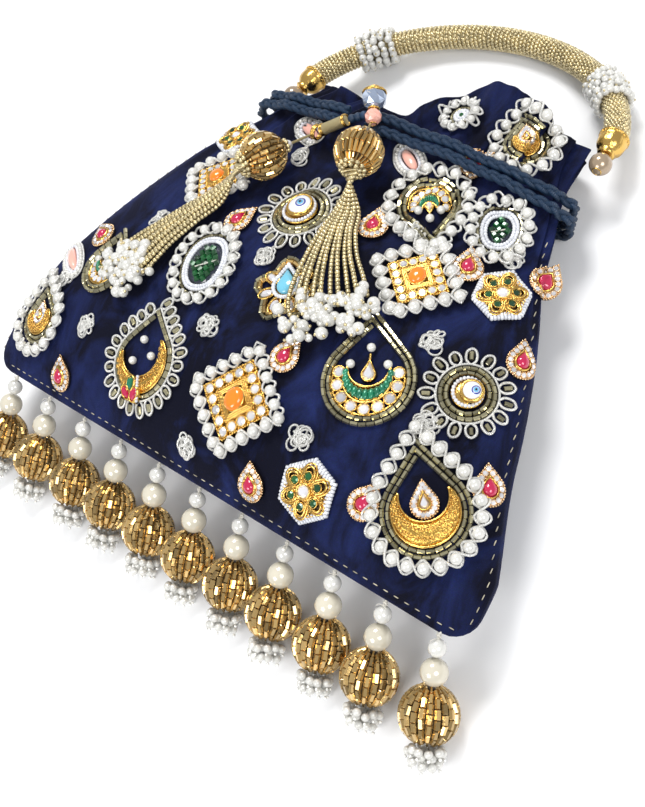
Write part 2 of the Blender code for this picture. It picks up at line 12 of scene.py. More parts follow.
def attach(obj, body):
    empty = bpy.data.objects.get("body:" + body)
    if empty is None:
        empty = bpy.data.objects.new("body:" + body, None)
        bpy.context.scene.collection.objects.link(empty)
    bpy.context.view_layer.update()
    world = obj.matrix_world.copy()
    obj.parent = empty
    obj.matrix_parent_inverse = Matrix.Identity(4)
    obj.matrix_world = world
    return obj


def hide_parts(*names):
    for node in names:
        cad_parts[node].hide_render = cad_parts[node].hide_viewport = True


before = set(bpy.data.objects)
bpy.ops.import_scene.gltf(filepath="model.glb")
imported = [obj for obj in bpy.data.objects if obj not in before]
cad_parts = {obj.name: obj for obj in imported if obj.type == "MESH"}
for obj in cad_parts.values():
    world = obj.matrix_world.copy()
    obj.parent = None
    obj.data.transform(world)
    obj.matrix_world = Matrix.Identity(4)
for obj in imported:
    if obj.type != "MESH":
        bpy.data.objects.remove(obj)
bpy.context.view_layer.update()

MM = 0.001
UP = Vector((0, 0, 1))


# Shared shader effects

def shader_group(name, inputs, outputs):
    group = bpy.data.node_groups.new(name, "ShaderNodeTree")
    for label, kind, value in inputs:
        socket = group.interface.new_socket(label, in_out="INPUT", socket_type=kind)
        socket.default_value = value
    for label, kind in outputs:
        group.interface.new_socket(label, in_out="OUTPUT", socket_type=kind)
    start = group.nodes.new("NodeGroupInput")
    end = group.nodes.new("NodeGroupOutput")
    return group, start, end


def make_bead_tint():
    """Beads of one finish differ a little from one to the next, by the shade that each carries."""
    group, start, end = shader_group(
        "bead_tint", [("Color", "NodeSocketColor", (1, 1, 1, 1)), ("Spread", "NodeSocketFloat", 0.2)],
        [("Color", "NodeSocketColor")])
    nodes, links = group.nodes, group.links
    shade = nodes.new("ShaderNodeAttribute")
    shade.attribute_name = "shade"
    centred = nodes.new("ShaderNodeMath")
    centred.operation = "SUBTRACT"
    centred.inputs[1].default_value = 0.5
    spread = nodes.new("ShaderNodeMath")
    spread.operation = "MULTIPLY_ADD"
    spread.inputs[2].default_value = 1.0
    tint = nodes.new("ShaderNodeHueSaturation")
    links.new(shade.outputs["Fac"], centred.inputs[0])
    links.new(centred.outputs[0], spread.inputs[0])
    links.new(start.outputs["Spread"], spread.inputs[1])
    links.new(spread.outputs[0], tint.inputs["Value"])
    links.new(start.outputs["Color"], tint.inputs["Color"])
    links.new(tint.outputs[0], end.inputs["Color"])
    return group


def make_grain():
    """Fine unevenness of a surface, as a roughness and a height."""
    group, start, end = shader_group(
        "grain", [("Scale", "NodeSocketFloat", 900.0), ("Roughness", "NodeSocketFloat", 0.3),
                  ("Spread", "NodeSocketFloat", 0.2)],
        [("Roughness", "NodeSocketFloat"), ("Height", "NodeSocketFloat")])
    nodes, links = group.nodes, group.links
    coordinates = nodes.new("ShaderNodeTexCoord")
    texture = nodes.new("ShaderNodeTexNoise")
    texture.inputs["Detail"].default_value = 3
    around = nodes.new("ShaderNodeMath")
    around.operation = "SUBTRACT"
    around.inputs[1].default_value = 0.5
    roughness = nodes.new("ShaderNodeMath")
    roughness.operation = "MULTIPLY_ADD"
    links.new(coordinates.outputs["Object"], texture.inputs["Vector"])
    links.new(start.outputs["Scale"], texture.inputs["Scale"])
    links.new(texture.outputs["Fac"], around.inputs[0])
    links.new(around.outputs[0], roughness.inputs[0])
    links.new(start.outputs["Spread"], roughness.inputs[1])
    links.new(start.outputs["Roughness"], roughness.inputs[2])
    links.new(roughness.outputs[0], end.inputs["Roughness"])
    links.new(texture.outputs["Fac"], end.inputs["Height"])
    return group


def make_winding():
    """Turns of thread or fine wire wound round a core, by the length that the surface carries."""
    group, start, end = shader_group("winding", [("Pitch", "NodeSocketFloat", 0.4)],
                                     [("Height", "NodeSocketFloat")])
    nodes, links = group.nodes, group.links
    along = nodes.new("ShaderNodeAttribute")
    along.attribute_name = "along"
    turns = nodes.new("ShaderNodeMath")
    turns.operation = "DIVIDE"
    whole = nodes.new("ShaderNodeMath")
    whole.operation = "MULTIPLY"
    whole.inputs[1].default_value = math.tau
    wave = nodes.new("ShaderNodeMath")
    wave.operation = "SINE"
    links.new(along.outputs["Fac"], turns.inputs[0])
    links.new(start.outputs["Pitch"], turns.inputs[1])
    links.new(turns.outputs[0], whole.inputs[0])
    links.new(whole.outputs[0], wave.inputs[0])
    links.new(wave.outputs[0], end.inputs["Height"])
    return group


bead_tint, grain, winding = make_bead_tint(), make_grain(), make_winding()
FINISHES = {}
ROUGHNESS_SPREAD, GRAIN_DEPTH, WINDING_DEPTH = 0.15, 0.0003, 0.0002


def finish(name, colour, roughness, metallic=0.0, vary=0.2, scale=900.0, bump=0.15,
           pitch=0.0, wound=0.5, **sockets):
    """A material whose colour varies from bead to bead, with grain and, for wire, its turns."""
    material = bpy.data.materials.new(name)
    material.use_nodes = True
    nodes, links = material.node_tree.nodes, material.node_tree.links
    shader = nodes["Principled BSDF"]
    shader.inputs["Metallic"].default_value = metallic
    for label, value in sockets.items():
        shader.inputs[label.replace("_", " ")].default_value = value
    tint = nodes.new("ShaderNodeGroup")
    tint.node_tree = bead_tint
    tint.inputs["Color"].default_value = (*colour, 1)
    tint.inputs["Spread"].default_value = vary
    surface = nodes.new("ShaderNodeGroup")
    surface.node_tree = grain
    surface.inputs["Scale"].default_value = scale
    surface.inputs["Roughness"].default_value = roughness
    surface.inputs["Spread"].default_value = ROUGHNESS_SPREAD
    relief = nodes.new("ShaderNodeBump")
    relief.inputs["Strength"].default_value = bump
    relief.inputs["Distance"].default_value = GRAIN_DEPTH
    links.new(tint.outputs["Color"], shader.inputs["Base Color"])
    links.new(surface.outputs["Roughness"], shader.inputs["Roughness"])
    links.new(surface.outputs["Height"], relief.inputs["Height"])
    last = relief
    if pitch:
        turns = nodes.new("ShaderNodeGroup")
        turns.node_tree = winding
        turns.inputs["Pitch"].default_value = pitch
        last = nodes.new("ShaderNodeBump")
        last.inputs["Strength"].default_value = wound
        last.inputs["Distance"].default_value = WINDING_DEPTH
        links.new(turns.outputs["Height"], last.inputs["Height"])
        links.new(relief.outputs["Normal"], last.inputs["Normal"])
    links.new(last.outputs["Normal"], shader.inputs["Normal"])
    FINISHES[name] = material


def make_velvet(name, dark, light, patch):
    """Velvet: a near-black pile with blue patches of painted sheen laid by noise, standing in for the blue
    that real pile shows where it is pressed flat or seen along its fibres.
    """
    material = bpy.data.materials.new(name)
    material.use_nodes = True
    nodes, links = material.node_tree.nodes, material.node_tree.links
    shader = nodes["Principled BSDF"]
    shader.inputs["Roughness"].default_value = 0.85
    shader.inputs["Specular IOR Level"].default_value = 0.15
    shader.inputs["Sheen Weight"].default_value = 0.16
    shader.inputs["Sheen Roughness"].default_value = 0.35
    shader.inputs["Sheen Tint"].default_value = (0.10, 0.14, 0.60, 1)
    coordinates = nodes.new("ShaderNodeTexCoord")
    lay = nodes.new("ShaderNodeMapping")
    lay.inputs["Scale"].default_value = (1.0, 0.45, 1.0)
    lay.inputs["Rotation"].default_value = (0, 0, math.radians(25))
    painted_sheen_patches = nodes.new("ShaderNodeTexNoise")
    painted_sheen_patches.inputs["Scale"].default_value = patch
    painted_sheen_patches.inputs["Detail"].default_value = 5
    painted_sheen_patches.inputs["Roughness"].default_value = 0.62
    painted_sheen_patches.inputs["Distortion"].default_value = 0.6
    # Colour ramp from the pile's own near-black to the blue of painted sheen, by the noise patches.
    spread = nodes.new("ShaderNodeValToRGB")
    spread.color_ramp.elements[0].position = 0.43
    spread.color_ramp.elements[0].color = (*dark, 1)
    spread.color_ramp.elements[1].position = 0.70
    spread.color_ramp.elements[1].color = (*light, 1)
    pile = nodes.new("ShaderNodeTexNoise")
    pile.inputs["Scale"].default_value = 2600
    pile.inputs["Detail"].default_value = 2
    specks = nodes.new("ShaderNodeMixRGB")
    specks.blend_type = "OVERLAY"
    specks.inputs["Fac"].default_value = 0.55
    relief = nodes.new("ShaderNodeBump")
    relief.inputs["Strength"].default_value = 0.5
    relief.inputs["Distance"].default_value = 0.0004
    links.new(coordinates.outputs["Object"], lay.inputs["Vector"])
    links.new(lay.outputs["Vector"], painted_sheen_patches.inputs["Vector"])
    links.new(coordinates.outputs["Object"], pile.inputs["Vector"])
    links.new(painted_sheen_patches.outputs["Fac"], spread.inputs["Fac"])
    links.new(spread.outputs["Color"], specks.inputs["Color1"])
    links.new(pile.outputs["Color"], specks.inputs["Color2"])
    links.new(specks.outputs["Color"], shader.inputs["Base Color"])
    links.new(pile.outputs["Fac"], relief.inputs["Height"])
    links.new(relief.outputs["Normal"], shader.inputs["Normal"])
    FINISHES[name] = material


# The second colour of each velvet is painted sheen, laid in noise patches at the given scale.
make_velvet("velvet", (0.0012, 0.0016, 0.0085), (0.010, 0.018, 0.085), 62)
make_velvet("lining", (0.004, 0.005, 0.020), (0.008, 0.010, 0.050), 20)
finish("cord_thread", (0.006, 0.028, 0.070), 0.5, vary=0.5, bump=0.5, scale=2500, pitch=0.55, wound=0.8)
finish("bugle_gold", (0.60, 0.40, 0.15), 0.14, 0.85, vary=0.9, scale=500, Coat_Weight=0.6)
finish("bugle_pale", (0.44, 0.40, 0.25), 0.14, 0.85, vary=0.9, scale=500, Coat_Weight=0.6)
finish("seed_champagne", (0.60, 0.50, 0.28), 0.24, 0.7, vary=0.5, Coat_Weight=0.4)
finish("seed_white", (0.68, 0.69, 0.73), 0.18, 0.0, vary=0.3, Coat_Weight=0.7)
finish("pearl_white", (0.66, 0.65, 0.61), 0.14, 0.1, vary=0.14, Coat_Weight=0.8, bump=0.05)
finish("pearl_ivory", (0.66, 0.61, 0.49), 0.14, 0.1, vary=0.12, Coat_Weight=0.8, bump=0.05)
finish("pearl_bronze", (0.40, 0.30, 0.20), 0.2, 0.4, vary=0.1, Coat_Weight=0.7)
finish("gold", (0.74, 0.47, 0.13), 0.2, 1.0, vary=0.25, bump=0.35, scale=1500)
finish("gold_chased", (0.66, 0.40, 0.09), 0.26, 1.0, vary=0.1, bump=1.0, scale=1100)
finish("rose_gold", (0.72, 0.49, 0.28), 0.2, 1.0, vary=0.2, bump=0.8, scale=1100)
# Near-black brown for backings: the beaded balls' real core, darkened as painted shade in the gaps between
# pipe beads, and the flower's plate, a painted shadow where its petals are open.
finish("painted_shade_backing", (0.045, 0.022, 0.005), 0.5, 0.4, bump=0.6, scale=700)
finish("silver_wire", (0.88, 0.87, 0.83), 0.3, 0.55, vary=0.2, pitch=0.5, wound=0.8)
finish("gold_thread", (0.62, 0.52, 0.28), 0.4, 0.6, vary=0.2, pitch=0.35, wound=0.9)
finish("white_thread", (0.75, 0.72, 0.64), 0.7, vary=0.1, bump=0.6, pitch=0.3)
finish("stitch", (0.42, 0.38, 0.28), 0.6, vary=0.6, bump=0.6)
finish("clear_stone", (0.80, 0.79, 0.82), 0.04, 0.45, vary=0.6, bump=0.0, Coat_Weight=1.0,
       Coat_Roughness=0.02)
finish("ruby", (0.50, 0.006, 0.065), 0.07, 0.1, vary=0.2, bump=0.02, Coat_Weight=1.0,
       Coat_Roughness=0.02)
finish("emerald", (0.004, 0.20, 0.095), 0.08, 0.3, vary=0.5, bump=0.15, scale=400, Coat_Weight=1.0,
       Coat_Roughness=0.02)
finish("leaf_green", (0.004, 0.080, 0.018), 0.08, 0.3, vary=1.3, bump=0.1, Coat_Weight=1.0)
finish("orange_stone", (0.95, 0.22, 0.004), 0.18, vary=0.05, bump=0.02, Coat_Weight=0.8)
finish("turquoise", (0.16, 0.50, 0.66), 0.2, vary=0.05, bump=0.05, Coat_Weight=0.7)
finish("peach_stone", (0.90, 0.45, 0.36), 0.2, vary=0.2, bump=0.05, Coat_Weight=0.8)
finish("mother_of_pearl", (0.72, 0.76, 0.82), 0.2, vary=0.05, bump=0.05, Coat_Weight=0.8)
finish("eye_blue", (0.010, 0.030, 0.35), 0.15, vary=0.0, bump=0.0, Coat_Weight=0.8)
finish("eye_sky", (0.16, 0.50, 0.80), 0.15, vary=0.0, bump=0.0, Coat_Weight=0.8)
finish("eye_dark", (0.008, 0.012, 0.03), 0.15, vary=0.0, bump=0.0, Coat_Weight=0.8)
finish("crystal_glass", (0.42, 0.50, 0.66), 0.02, 0.7, vary=0.3, bump=0.0, Coat_Weight=1.0)


# Bead shapes of unit size, which the sewing tree repeats

def shell(points, faces, name, smooth=True):
    data = bpy.data.meshes.new(name)
    data.from_pydata(points, [], faces)
    mesh = bmesh.new()
    mesh.from_mesh(data)
    bmesh.ops.recalc_face_normals(mesh, faces=mesh.faces)
    mesh.to_mesh(data)
    mesh.free()
    data.polygons.foreach_set("use_smooth", [smooth] * len(data.polygons))
    return data


def lathe(profile, steps, closed=False):
    """Points and faces turned about Z from (radius, height) pairs."""
    points, faces, rows = [], [], []
    for radius, height in profile:
        if radius < 1e-6:
            rows.append([len(points)])
            points.append((0, 0, height))
            continue
        rows.append(range(len(points), len(points) + steps))
        points += [(radius * math.cos(math.tau * i / steps), radius * math.sin(math.tau * i / steps),
                    height) for i in range(steps)]
    pairs = list(zip(rows, rows[1:])) + ([(rows[-1], rows[0])] if closed else [])
    for low, high in pairs:
        for i in range(steps):
            j = (i + 1) % steps
            if len(low) == 1:
                faces.append((low[0], high[j], high[i]))
            elif len(high) == 1:
                faces.append((low[i], low[j], high[0]))
            else:
                faces.append((low[i], low[j], high[j], high[i]))
    if not closed:
        faces += [tuple(row) for row in (rows[0], rows[-1]) if len(row) > 1]
    return points, faces


def ball_profile(rings):
    return [(math.sin(math.pi * i / rings), -math.cos(math.pi * i / rings))
            for i in range(rings + 1)]


def lying(points):
    """Turns a shape from the Z axis to the X axis."""
    return [(z, x, y) for x, y, z in points]


SHAPES = {}


def shape(name, points, faces, smooth=True):
    piece = bpy.data.objects.new("shape_" + name, shell(points, faces, name, smooth))
    bpy.context.scene.collection.objects.link(piece)
    SHAPES[name] = piece


shape("pearl", *lathe(ball_profile(8), 12))
shape("pearl_fine", *lathe(ball_profile(16), 26))
shape("seed", *lathe(ball_profile(5), 8))
shape("dot", *lathe(ball_profile(4), 6))
tube_points, tube_faces = lathe([(0.8, -0.5), (1.0, -0.45), (1.0, 0.45), (0.8, 0.5)], 6)
shape("bugle", lying(tube_points), tube_faces, smooth=False)
barrel_section = [(0.45, -0.3), (0.8, -0.5), (1.0, -0.2), (1.0, 0.2), (0.8, 0.5), (0.45, 0.3)]
barrel_points, barrel_faces = lathe(barrel_section, 7)
shape("barrel", lying(barrel_points), barrel_faces)
shape("gem", *lathe([(0.0, 0.0), (0.9, 0.0), (1.0, 0.28), (0.55, 0.66), (0.0, 0.66)], 8), smooth=False)
shape("kite", *lathe([(0.0, 0.0), (0.9, 0.0), (1.0, 0.3), (0.5, 0.7), (0.0, 0.7)], 4), smooth=False)
shape("cup", *lathe([(1.12, 0), (1.28, 0.15), (1.22, 0.42), (1.08, 0.48), (0.98, 0.34), (0.98, 0.0)], 10,
                    closed=True))
shape("hoop", *lathe([(1 + 0.16 * math.cos(math.tau * i / 6), 0.16 * math.sin(math.tau * i / 6))
                      for i in range(6)], 14, closed=True))


# Geometry Nodes trees

def named_tree(name, inputs):
    tree = bpy.data.node_groups.new(name, "GeometryNodeTree")
    tree.interface.new_socket("Geometry", in_out="INPUT", socket_type="NodeSocketGeometry")
    sockets = {}
    for label, kind in inputs:
        sockets[label] = tree.interface.new_socket(label, in_out="INPUT", socket_type=kind).identifier
    tree.interface.new_socket("Geometry", in_out="OUTPUT", socket_type="NodeSocketGeometry")
    start, end = tree.nodes.new("NodeGroupInput"), tree.nodes.new("NodeGroupOutput")
    return tree, sockets, start, end


def attribute_of(tree, name, kind):
    node = tree.nodes.new("GeometryNodeInputNamedAttribute")
    node.data_type = kind
    node.inputs["Name"].default_value = name
    return node.outputs["Attribute"]


def make_sewing_tree():
    """A bead at each point, turned and sized as the point says."""
    tree, sockets, start, end = named_tree("sewn_beads", [("Bead", "NodeSocketObject"),
                                                         ("Finish", "NodeSocketMaterial")])
    nodes, links = tree.nodes, tree.links
    bead = nodes.new("GeometryNodeObjectInfo")
    turn = nodes.new("FunctionNodeEulerToRotation")
    sewn = nodes.new("GeometryNodeInstanceOnPoints")
    real = nodes.new("GeometryNodeRealizeInstances")
    paint = nodes.new("GeometryNodeSetMaterial")
    links.new(start.outputs["Bead"], bead.inputs["Object"])
    links.new(attribute_of(tree, "turn", "FLOAT_VECTOR"), turn.inputs["Euler"])
    links.new(start.outputs["Geometry"], sewn.inputs["Points"])
    links.new(bead.outputs["Geometry"], sewn.inputs["Instance"])
    links.new(turn.outputs["Rotation"], sewn.inputs["Rotation"])
    links.new(attribute_of(tree, "size", "FLOAT_VECTOR"), sewn.inputs["Scale"])
    links.new(sewn.outputs["Instances"], real.inputs["Geometry"])
    links.new(real.outputs["Geometry"], paint.inputs["Geometry"])
    links.new(start.outputs["Finish"], paint.inputs["Material"])
    links.new(paint.outputs["Geometry"], end.inputs["Geometry"])
    return tree, sockets


def make_wire_tree():
    """A round wire or thread along every edge path, with its length stored for its turns."""
    tree, sockets, start, end = named_tree("laid_wire", [("Radius", "NodeSocketFloat"),
                                                        ("Sides", "NodeSocketInt"),
                                                        ("Finish", "NodeSocketMaterial")])
    nodes, links = tree.nodes, tree.links
    path = nodes.new("GeometryNodeMeshToCurve")
    reached = nodes.new("GeometryNodeSplineParameter")
    keep = nodes.new("GeometryNodeStoreNamedAttribute")
    keep.data_type = "FLOAT"
    keep.inputs["Name"].default_value = "along"
    in_mm = nodes.new("ShaderNodeMath")
    in_mm.operation = "MULTIPLY"
    in_mm.inputs[1].default_value = 1 / MM
    section = nodes.new("GeometryNodeCurvePrimitiveCircle")
    skin = nodes.new("GeometryNodeCurveToMesh")
    skin.inputs["Fill Caps"].default_value = True
    real = nodes.new("GeometryNodeRealizeInstances")
    paint = nodes.new("GeometryNodeSetMaterial")
    links.new(start.outputs["Geometry"], path.inputs["Mesh"])
    links.new(path.outputs["Curve"], keep.inputs["Geometry"])
    links.new(reached.outputs["Length"], in_mm.inputs[0])
    links.new(in_mm.outputs[0], keep.inputs["Value"])
    links.new(keep.outputs["Geometry"], skin.inputs["Curve"])
    links.new(start.outputs["Radius"], section.inputs["Radius"])
    links.new(start.outputs["Sides"], section.inputs["Resolution"])
    links.new(section.outputs["Curve"], skin.inputs["Profile Curve"])
    links.new(skin.outputs["Mesh"], real.inputs["Geometry"])
    links.new(real.outputs["Geometry"], paint.inputs["Geometry"])
    links.new(start.outputs["Finish"], paint.inputs["Material"])
    links.new(paint.outputs["Geometry"], end.inputs["Geometry"])
    return tree, sockets


sewing_tree, sewing_inputs = make_sewing_tree()
wire_tree, wire_inputs = make_wire_tree()


def grown(points, edges, tree, values, attributes=()):
    """The plain mesh that a tree makes from points, as an object."""
    data = bpy.data.meshes.new("seeds")
    data.from_pydata(points, edges, [])
    for label, kind, flat in attributes:
        data.attributes.new(label, kind, "POINT").data.foreach_set(
            "vector" if kind == "FLOAT_VECTOR" else "value", flat)
    piece = bpy.data.objects.new("seeds", data)
    bpy.context.scene.collection.objects.link(piece)
    modifier = piece.modifiers.new("made", "NODES")
    modifier.node_group = tree
    for identifier, value in values.items():
        modifier[identifier] = value
    graph = bpy.context.evaluated_depsgraph_get()
    made = bpy.data.meshes.new_from_object(piece.evaluated_get(graph))
    piece.modifiers.remove(modifier)
    piece.data = made
    return piece


class Work:
    """What one piece is made of, in millimetres: beads, wires and solids, each with its finish."""

    def __init__(self, seed):
        self.beads, self.wires, self.solids = {}, {}, {}
        self.dice = random.Random(seed)

    def bead(self, form, look, at, size, along=None, up=None):
        turn = (0.0, 0.0, 0.0)
        if along is not None or up is not None:
            upward = (up or UP).normalized()
            forward = Vector(along) if along is not None else upward.orthogonal()
            forward = (forward - upward * forward.dot(upward)).normalized()
            turn = tuple(Matrix((forward, upward.cross(forward), upward)).transposed().to_euler())
        size = (size,) * 3 if isinstance(size, (int, float)) else size
        self.beads.setdefault((form, look), []).append((at, turn, size, self.dice.random()))

    def wire(self, look, radius, points, closed=False, sides=6):
        self.wires.setdefault((look, radius, sides), []).append((points, closed))

    def solid(self, look, points, faces, smooth=True):
        self.solids.setdefault((look, smooth), []).append((points, faces))

    def made(self, name, body, slot, *nodes):
        parts = []
        for (form, look), rows in self.beads.items():
            parts.append(grown(
                [tuple(at * MM) for at, *_ in rows], [], sewing_tree,
                {sewing_inputs["Bead"]: SHAPES[form], sewing_inputs["Finish"]: FINISHES[look]},
                [("turn", "FLOAT_VECTOR", [v for row in rows for v in row[1]]),
                 ("size", "FLOAT_VECTOR", [v * MM for row in rows for v in row[2]]),
                 ("shade", "FLOAT", [row[3] for row in rows])]))
        for (look, radius, sides), paths in self.wires.items():
            points, edges = [], []
            for path, closed in paths:
                first = len(points)
                points += [tuple(point * MM) for point in path]
                edges += [(i, i + 1) for i in range(first, len(points) - 1)]
                if closed:
                    edges.append((len(points) - 1, first))
            piece = grown(points, edges, wire_tree, {
                wire_inputs["Radius"]: radius * MM, wire_inputs["Sides"]: sides,
                wire_inputs["Finish"]: FINISHES[look]})
            piece.data.polygons.foreach_set("use_smooth", [True] * len(piece.data.polygons))
            parts.append(piece)
        for (look, smooth), rows in self.solids.items():
            for points, faces in rows:
                data = shell([tuple(Vector(point) * MM) for point in points], faces, "solid", smooth)
                data.materials.append(FINISHES[look])
                parts.append(bpy.data.objects.new("solid", data))
                bpy.context.scene.collection.objects.link(parts[-1])
        for part in parts:
            if "shade" not in part.data.attributes:
                shade = part.data.attributes.new("shade", "FLOAT", "POINT")
                shade.data.foreach_set("value", [0.5] * len(part.data.vertices))
        first = parts[0]
        with bpy.context.temp_override(active_object=first, object=first, selected_objects=parts,
                                       selected_editable_objects=parts):
            bpy.ops.object.join()
        first.name = first.data.name = name
        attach(first, body)
        if nodes:
            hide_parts(*nodes)


# The pouch's surface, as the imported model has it

HEM_Y, NECK, HALF, NECK_HALF = -80, 150, 123, 68.5
GATHERS = 16


def clamp(value):
    return max(0.0, min(1.0, value))


def ramp(start, end, value):
    share = clamp((value - start) / (end - start))
    return share * share * (3 - 2 * share)


def half_width(height):
    taper = clamp((height - 22) / (NECK - 22))
    width = HALF - (HALF - NECK_HALF) * taper + 6 * math.sin(math.pi * taper)
    below = clamp((10 - height) / 10)
    width -= 10 * (1 - math.sqrt(1 - below * below))
    return width - (NECK_HALF - 60) * ramp(NECK, NECK + 14, height)


def centre_x(height):
    lean = 3 + 7 * ramp(0, 60, height) - 5.5 * ramp(0.78 * NECK, NECK, height)
    return -(lean - 6 * ramp(NECK, NECK + 14, height))


def seam_z(height):
    return 25 - 4 * clamp(height / NECK)


def belly_growth(height):
    return (1 - clamp(1 - height / 60) ** 2.2) ** 0.62


def front_rise(height):
    full = 26 - 11 * ramp(70, NECK, height) - 3.5 * ramp(NECK, NECK + 34, height)
    growth = belly_growth(height)
    return full * growth + 1.2 * (1 - growth)


def back_floor(height):
    return 7.5 * ramp(104, 144, height) - 3.5 * ramp(NECK, NECK + 14, height)


def gather_depth(height):
    return 0.9 * ramp(96, NECK, height) + 1.5 * ramp(NECK + 4, NECK + 20, height)


def section_point(height, angle, outset=0.0, fold=0.0):
    """A point of the velvet's outside, at an angle round the bag; folds only go inwards."""
    across, up = math.cos(angle), math.sin(angle)
    wave = math.cos(GATHERS * angle) * gather_depth(height) - fold
    x = centre_x(height) + across * (half_width(height) + outset + wave)
    seam = seam_z(height)
    if up >= 0:
        z = seam + (front_rise(height) + outset + wave) * up ** (1.02 + 0.18 * across)
    else:
        floor = back_floor(height)
        growth = belly_growth(1.6 * height)
        drop = (seam + 8) * growth + 1.2 * (1 - growth)
        lowest = floor - outset if floor > 0 else 0.0
        z = max(lowest, seam - (drop + outset) * (-up) ** 0.85)
        if floor > 0:
            z += fold * 0.5 * -up
    return Vector((x, HEM_Y + height, z))


def frill_length(x):
    length = 14 - 5 * ramp(-60, -15, x) + 25 * ramp(-12, 22, x)
    return length - 10 * ramp(38, 62, x)


def fold_depth(height, angle):
    """Soft gathers that run down from the drawstrings, and the velvet's gentle unevenness."""
    near = ramp(88, 143, height)
    drift = 1.3 * noise.noise(Vector((math.cos(angle) * 3, math.sin(angle) * 3, height * 0.012)))
    folds = 0.5 - 0.5 * math.cos(GATHERS * 1.5 * angle + 3 * drift)
    fine = 0.5 - 0.5 * math.cos(GATHERS * 3.1 * angle + 5 * drift + 1)
    deep = near * (2.1 * folds ** 1.5 + 0.9 * fine)
    spot = Vector((math.cos(angle) * 2.2, math.sin(angle) * 2.2, height * 0.021))
    return deep + 0.9 * ramp(8, 40, height) * (0.5 + 0.5 * noise.noise(spot * 1.7))


def velvet_ring(height, share, count):
    ring = []
    for step in range(count):
        angle = math.tau * step / count
        reach = height + share * frill_length(NECK_HALF * math.cos(angle))
        fold = fold_depth(reach, angle) * (1 if share < 0.99 else 0.8)
        ring.append(section_point(reach, angle, fold=fold))
    return ring


def inner_point(point, wall):
    height = point.y - HEM_Y
    seam = seam_z(height)
    rise = front_rise(height) if point.z >= seam else seam - back_floor(height)
    middle = centre_x(height)
    return Vector((middle + (point.x - middle) * (1 - wall / half_width(height)), point.y,
                   seam + (point.z - seam) * (1 - wall / rise)))


def ring_faces(rows, count):
    faces = []
    for row in range(rows - 1):
        for i in range(count):
            j = (i + 1) % count
            a, b = row * count, (row + 1) * count
            faces.append((a + i, a + j, b + j, b + i))
    return faces


ROUND = 288
levels = [0, 0.6, 1.6, 3, 5, 7.5] + [10 + 2.5 * i for i in range(34)] + [95 + 1.9 * i for i in range(28)]
outer = [velvet_ring(height, 0, ROUND) for height in levels]
outer += [velvet_ring(NECK, share / 16, ROUND) for share in range(1, 17)]
lip = [[inner_point(point, wall) + Vector((0, proud, 0)) for point in outer[-1]]
       for wall, proud in ((0.25, 0.35), (0.8, 0.5), (1.35, 0.35))]
inner = [velvet_ring(NECK, share, ROUND) for share in (1.0, 0.7, 0.4, 0.15)]
inner += [velvet_ring(height, 0, ROUND) for height in (144, 130, 110, 85, 60, 36, 18, 7)]
inner = [[inner_point(point, 1.6) for point in ring] for ring in inner]
outside = outer + lip
body_points = [point for ring in outside for point in ring]
front_tree = BVHTree.FromPolygons(body_points, ring_faces(len(outside), ROUND))


def make_pouch():
    """Velvet outside and lining inside, as one closed skin."""
    rings = outside + inner
    points = [point for ring in rings for point in ring]
    faces = ring_faces(len(rings), ROUND)
    faces.append(tuple(range(ROUND)))
    faces.append(tuple(range(len(points) - ROUND, len(points))))
    data = shell([tuple(point * MM) for point in points], faces, "velvet_skin")
    data.materials.append(FINISHES["velvet"])
    data.materials.append(FINISHES["lining"])
    lining_from = (len(outside) - 1) * ROUND
    for polygon in data.polygons:
        polygon.material_index = int(polygon.vertices[0] >= lining_from)
    pouch = bpy.data.objects.new("velvet_skin", data)
    bpy.context.scene.collection.objects.link(pouch)
    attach(pouch, "bag")
    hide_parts("velvet_pouch")


# A seat is a flat drawing board laid on the velvet's front: right, up and height

class Seat:
    def __init__(self, x, y, turn=0.0):
        step = 6
        slope_x = (front_z(x + step, y) - front_z(x - step, y)) / (2 * step)
        slope_y = (front_z(x, y + step) - front_z(x, y - step)) / (2 * step)
        self.normal = Vector((-slope_x, -slope_y, 1)).normalized()
        side = Vector((0, 1, 0)).cross(self.normal).normalized()
        up = self.normal.cross(side)
        turn = math.radians(turn)
        self.right = side * math.cos(turn) + up * math.sin(turn)
        self.up = up * math.cos(turn) - side * math.sin(turn)
        self.origin = Vector((x, y, front_z(x, y)))

    def at(self, u, v, height=0.0):
        flat = self.origin + self.right * u + self.up * v
        hit = front_tree.ray_cast(flat + self.normal * 40, -self.normal)
        depth = min((flat - hit[0]).dot(self.normal), 7.0) if hit[0] else 3.0
        return flat + self.normal * (height - depth)

    def normal_at(self, u, v):
        a, b = self.at(u + 1, v), self.at(u - 1, v)
        c, d = self.at(u, v + 1), self.at(u, v - 1)
        return (a - b).cross(c - d).normalized()


def front_z(x, y):
    hit = front_tree.ray_cast(Vector((x, y, 200)), Vector((0, 0, -1)))
    return hit[0].z if hit[0] else seam_z(y - HEM_Y)


# Paths on the board

def spaced(path, gap, closed=True):
    """Even steps along a path, as near to gap as divides it, with the direction at each."""
    points = [Vector(point) for point in path]
    if closed:
        points.append(points[0])
    lengths = [0.0]
    for a, b in zip(points, points[1:]):
        lengths.append(lengths[-1] + (b - a).length)
    count = max(1, round(lengths[-1] / gap))
    made, part = [], 0
    for step in range(count if closed else count + 1):
        reach = lengths[-1] * step / count
        while part < len(points) - 2 and lengths[part + 1] < reach:
            part += 1
        span = max(lengths[part + 1] - lengths[part], 1e-9)
        at = points[part].lerp(points[part + 1], (reach - lengths[part]) / span)
        made.append((at, (points[part + 1] - points[part]).normalized()))
    return made


def ring_path(radius, count=48, squash=1.0, centre=(0, 0)):
    return [(centre[0] + radius * math.sin(math.tau * i / count),
             centre[1] + squash * radius * math.cos(math.tau * i / count)) for i in range(count)]


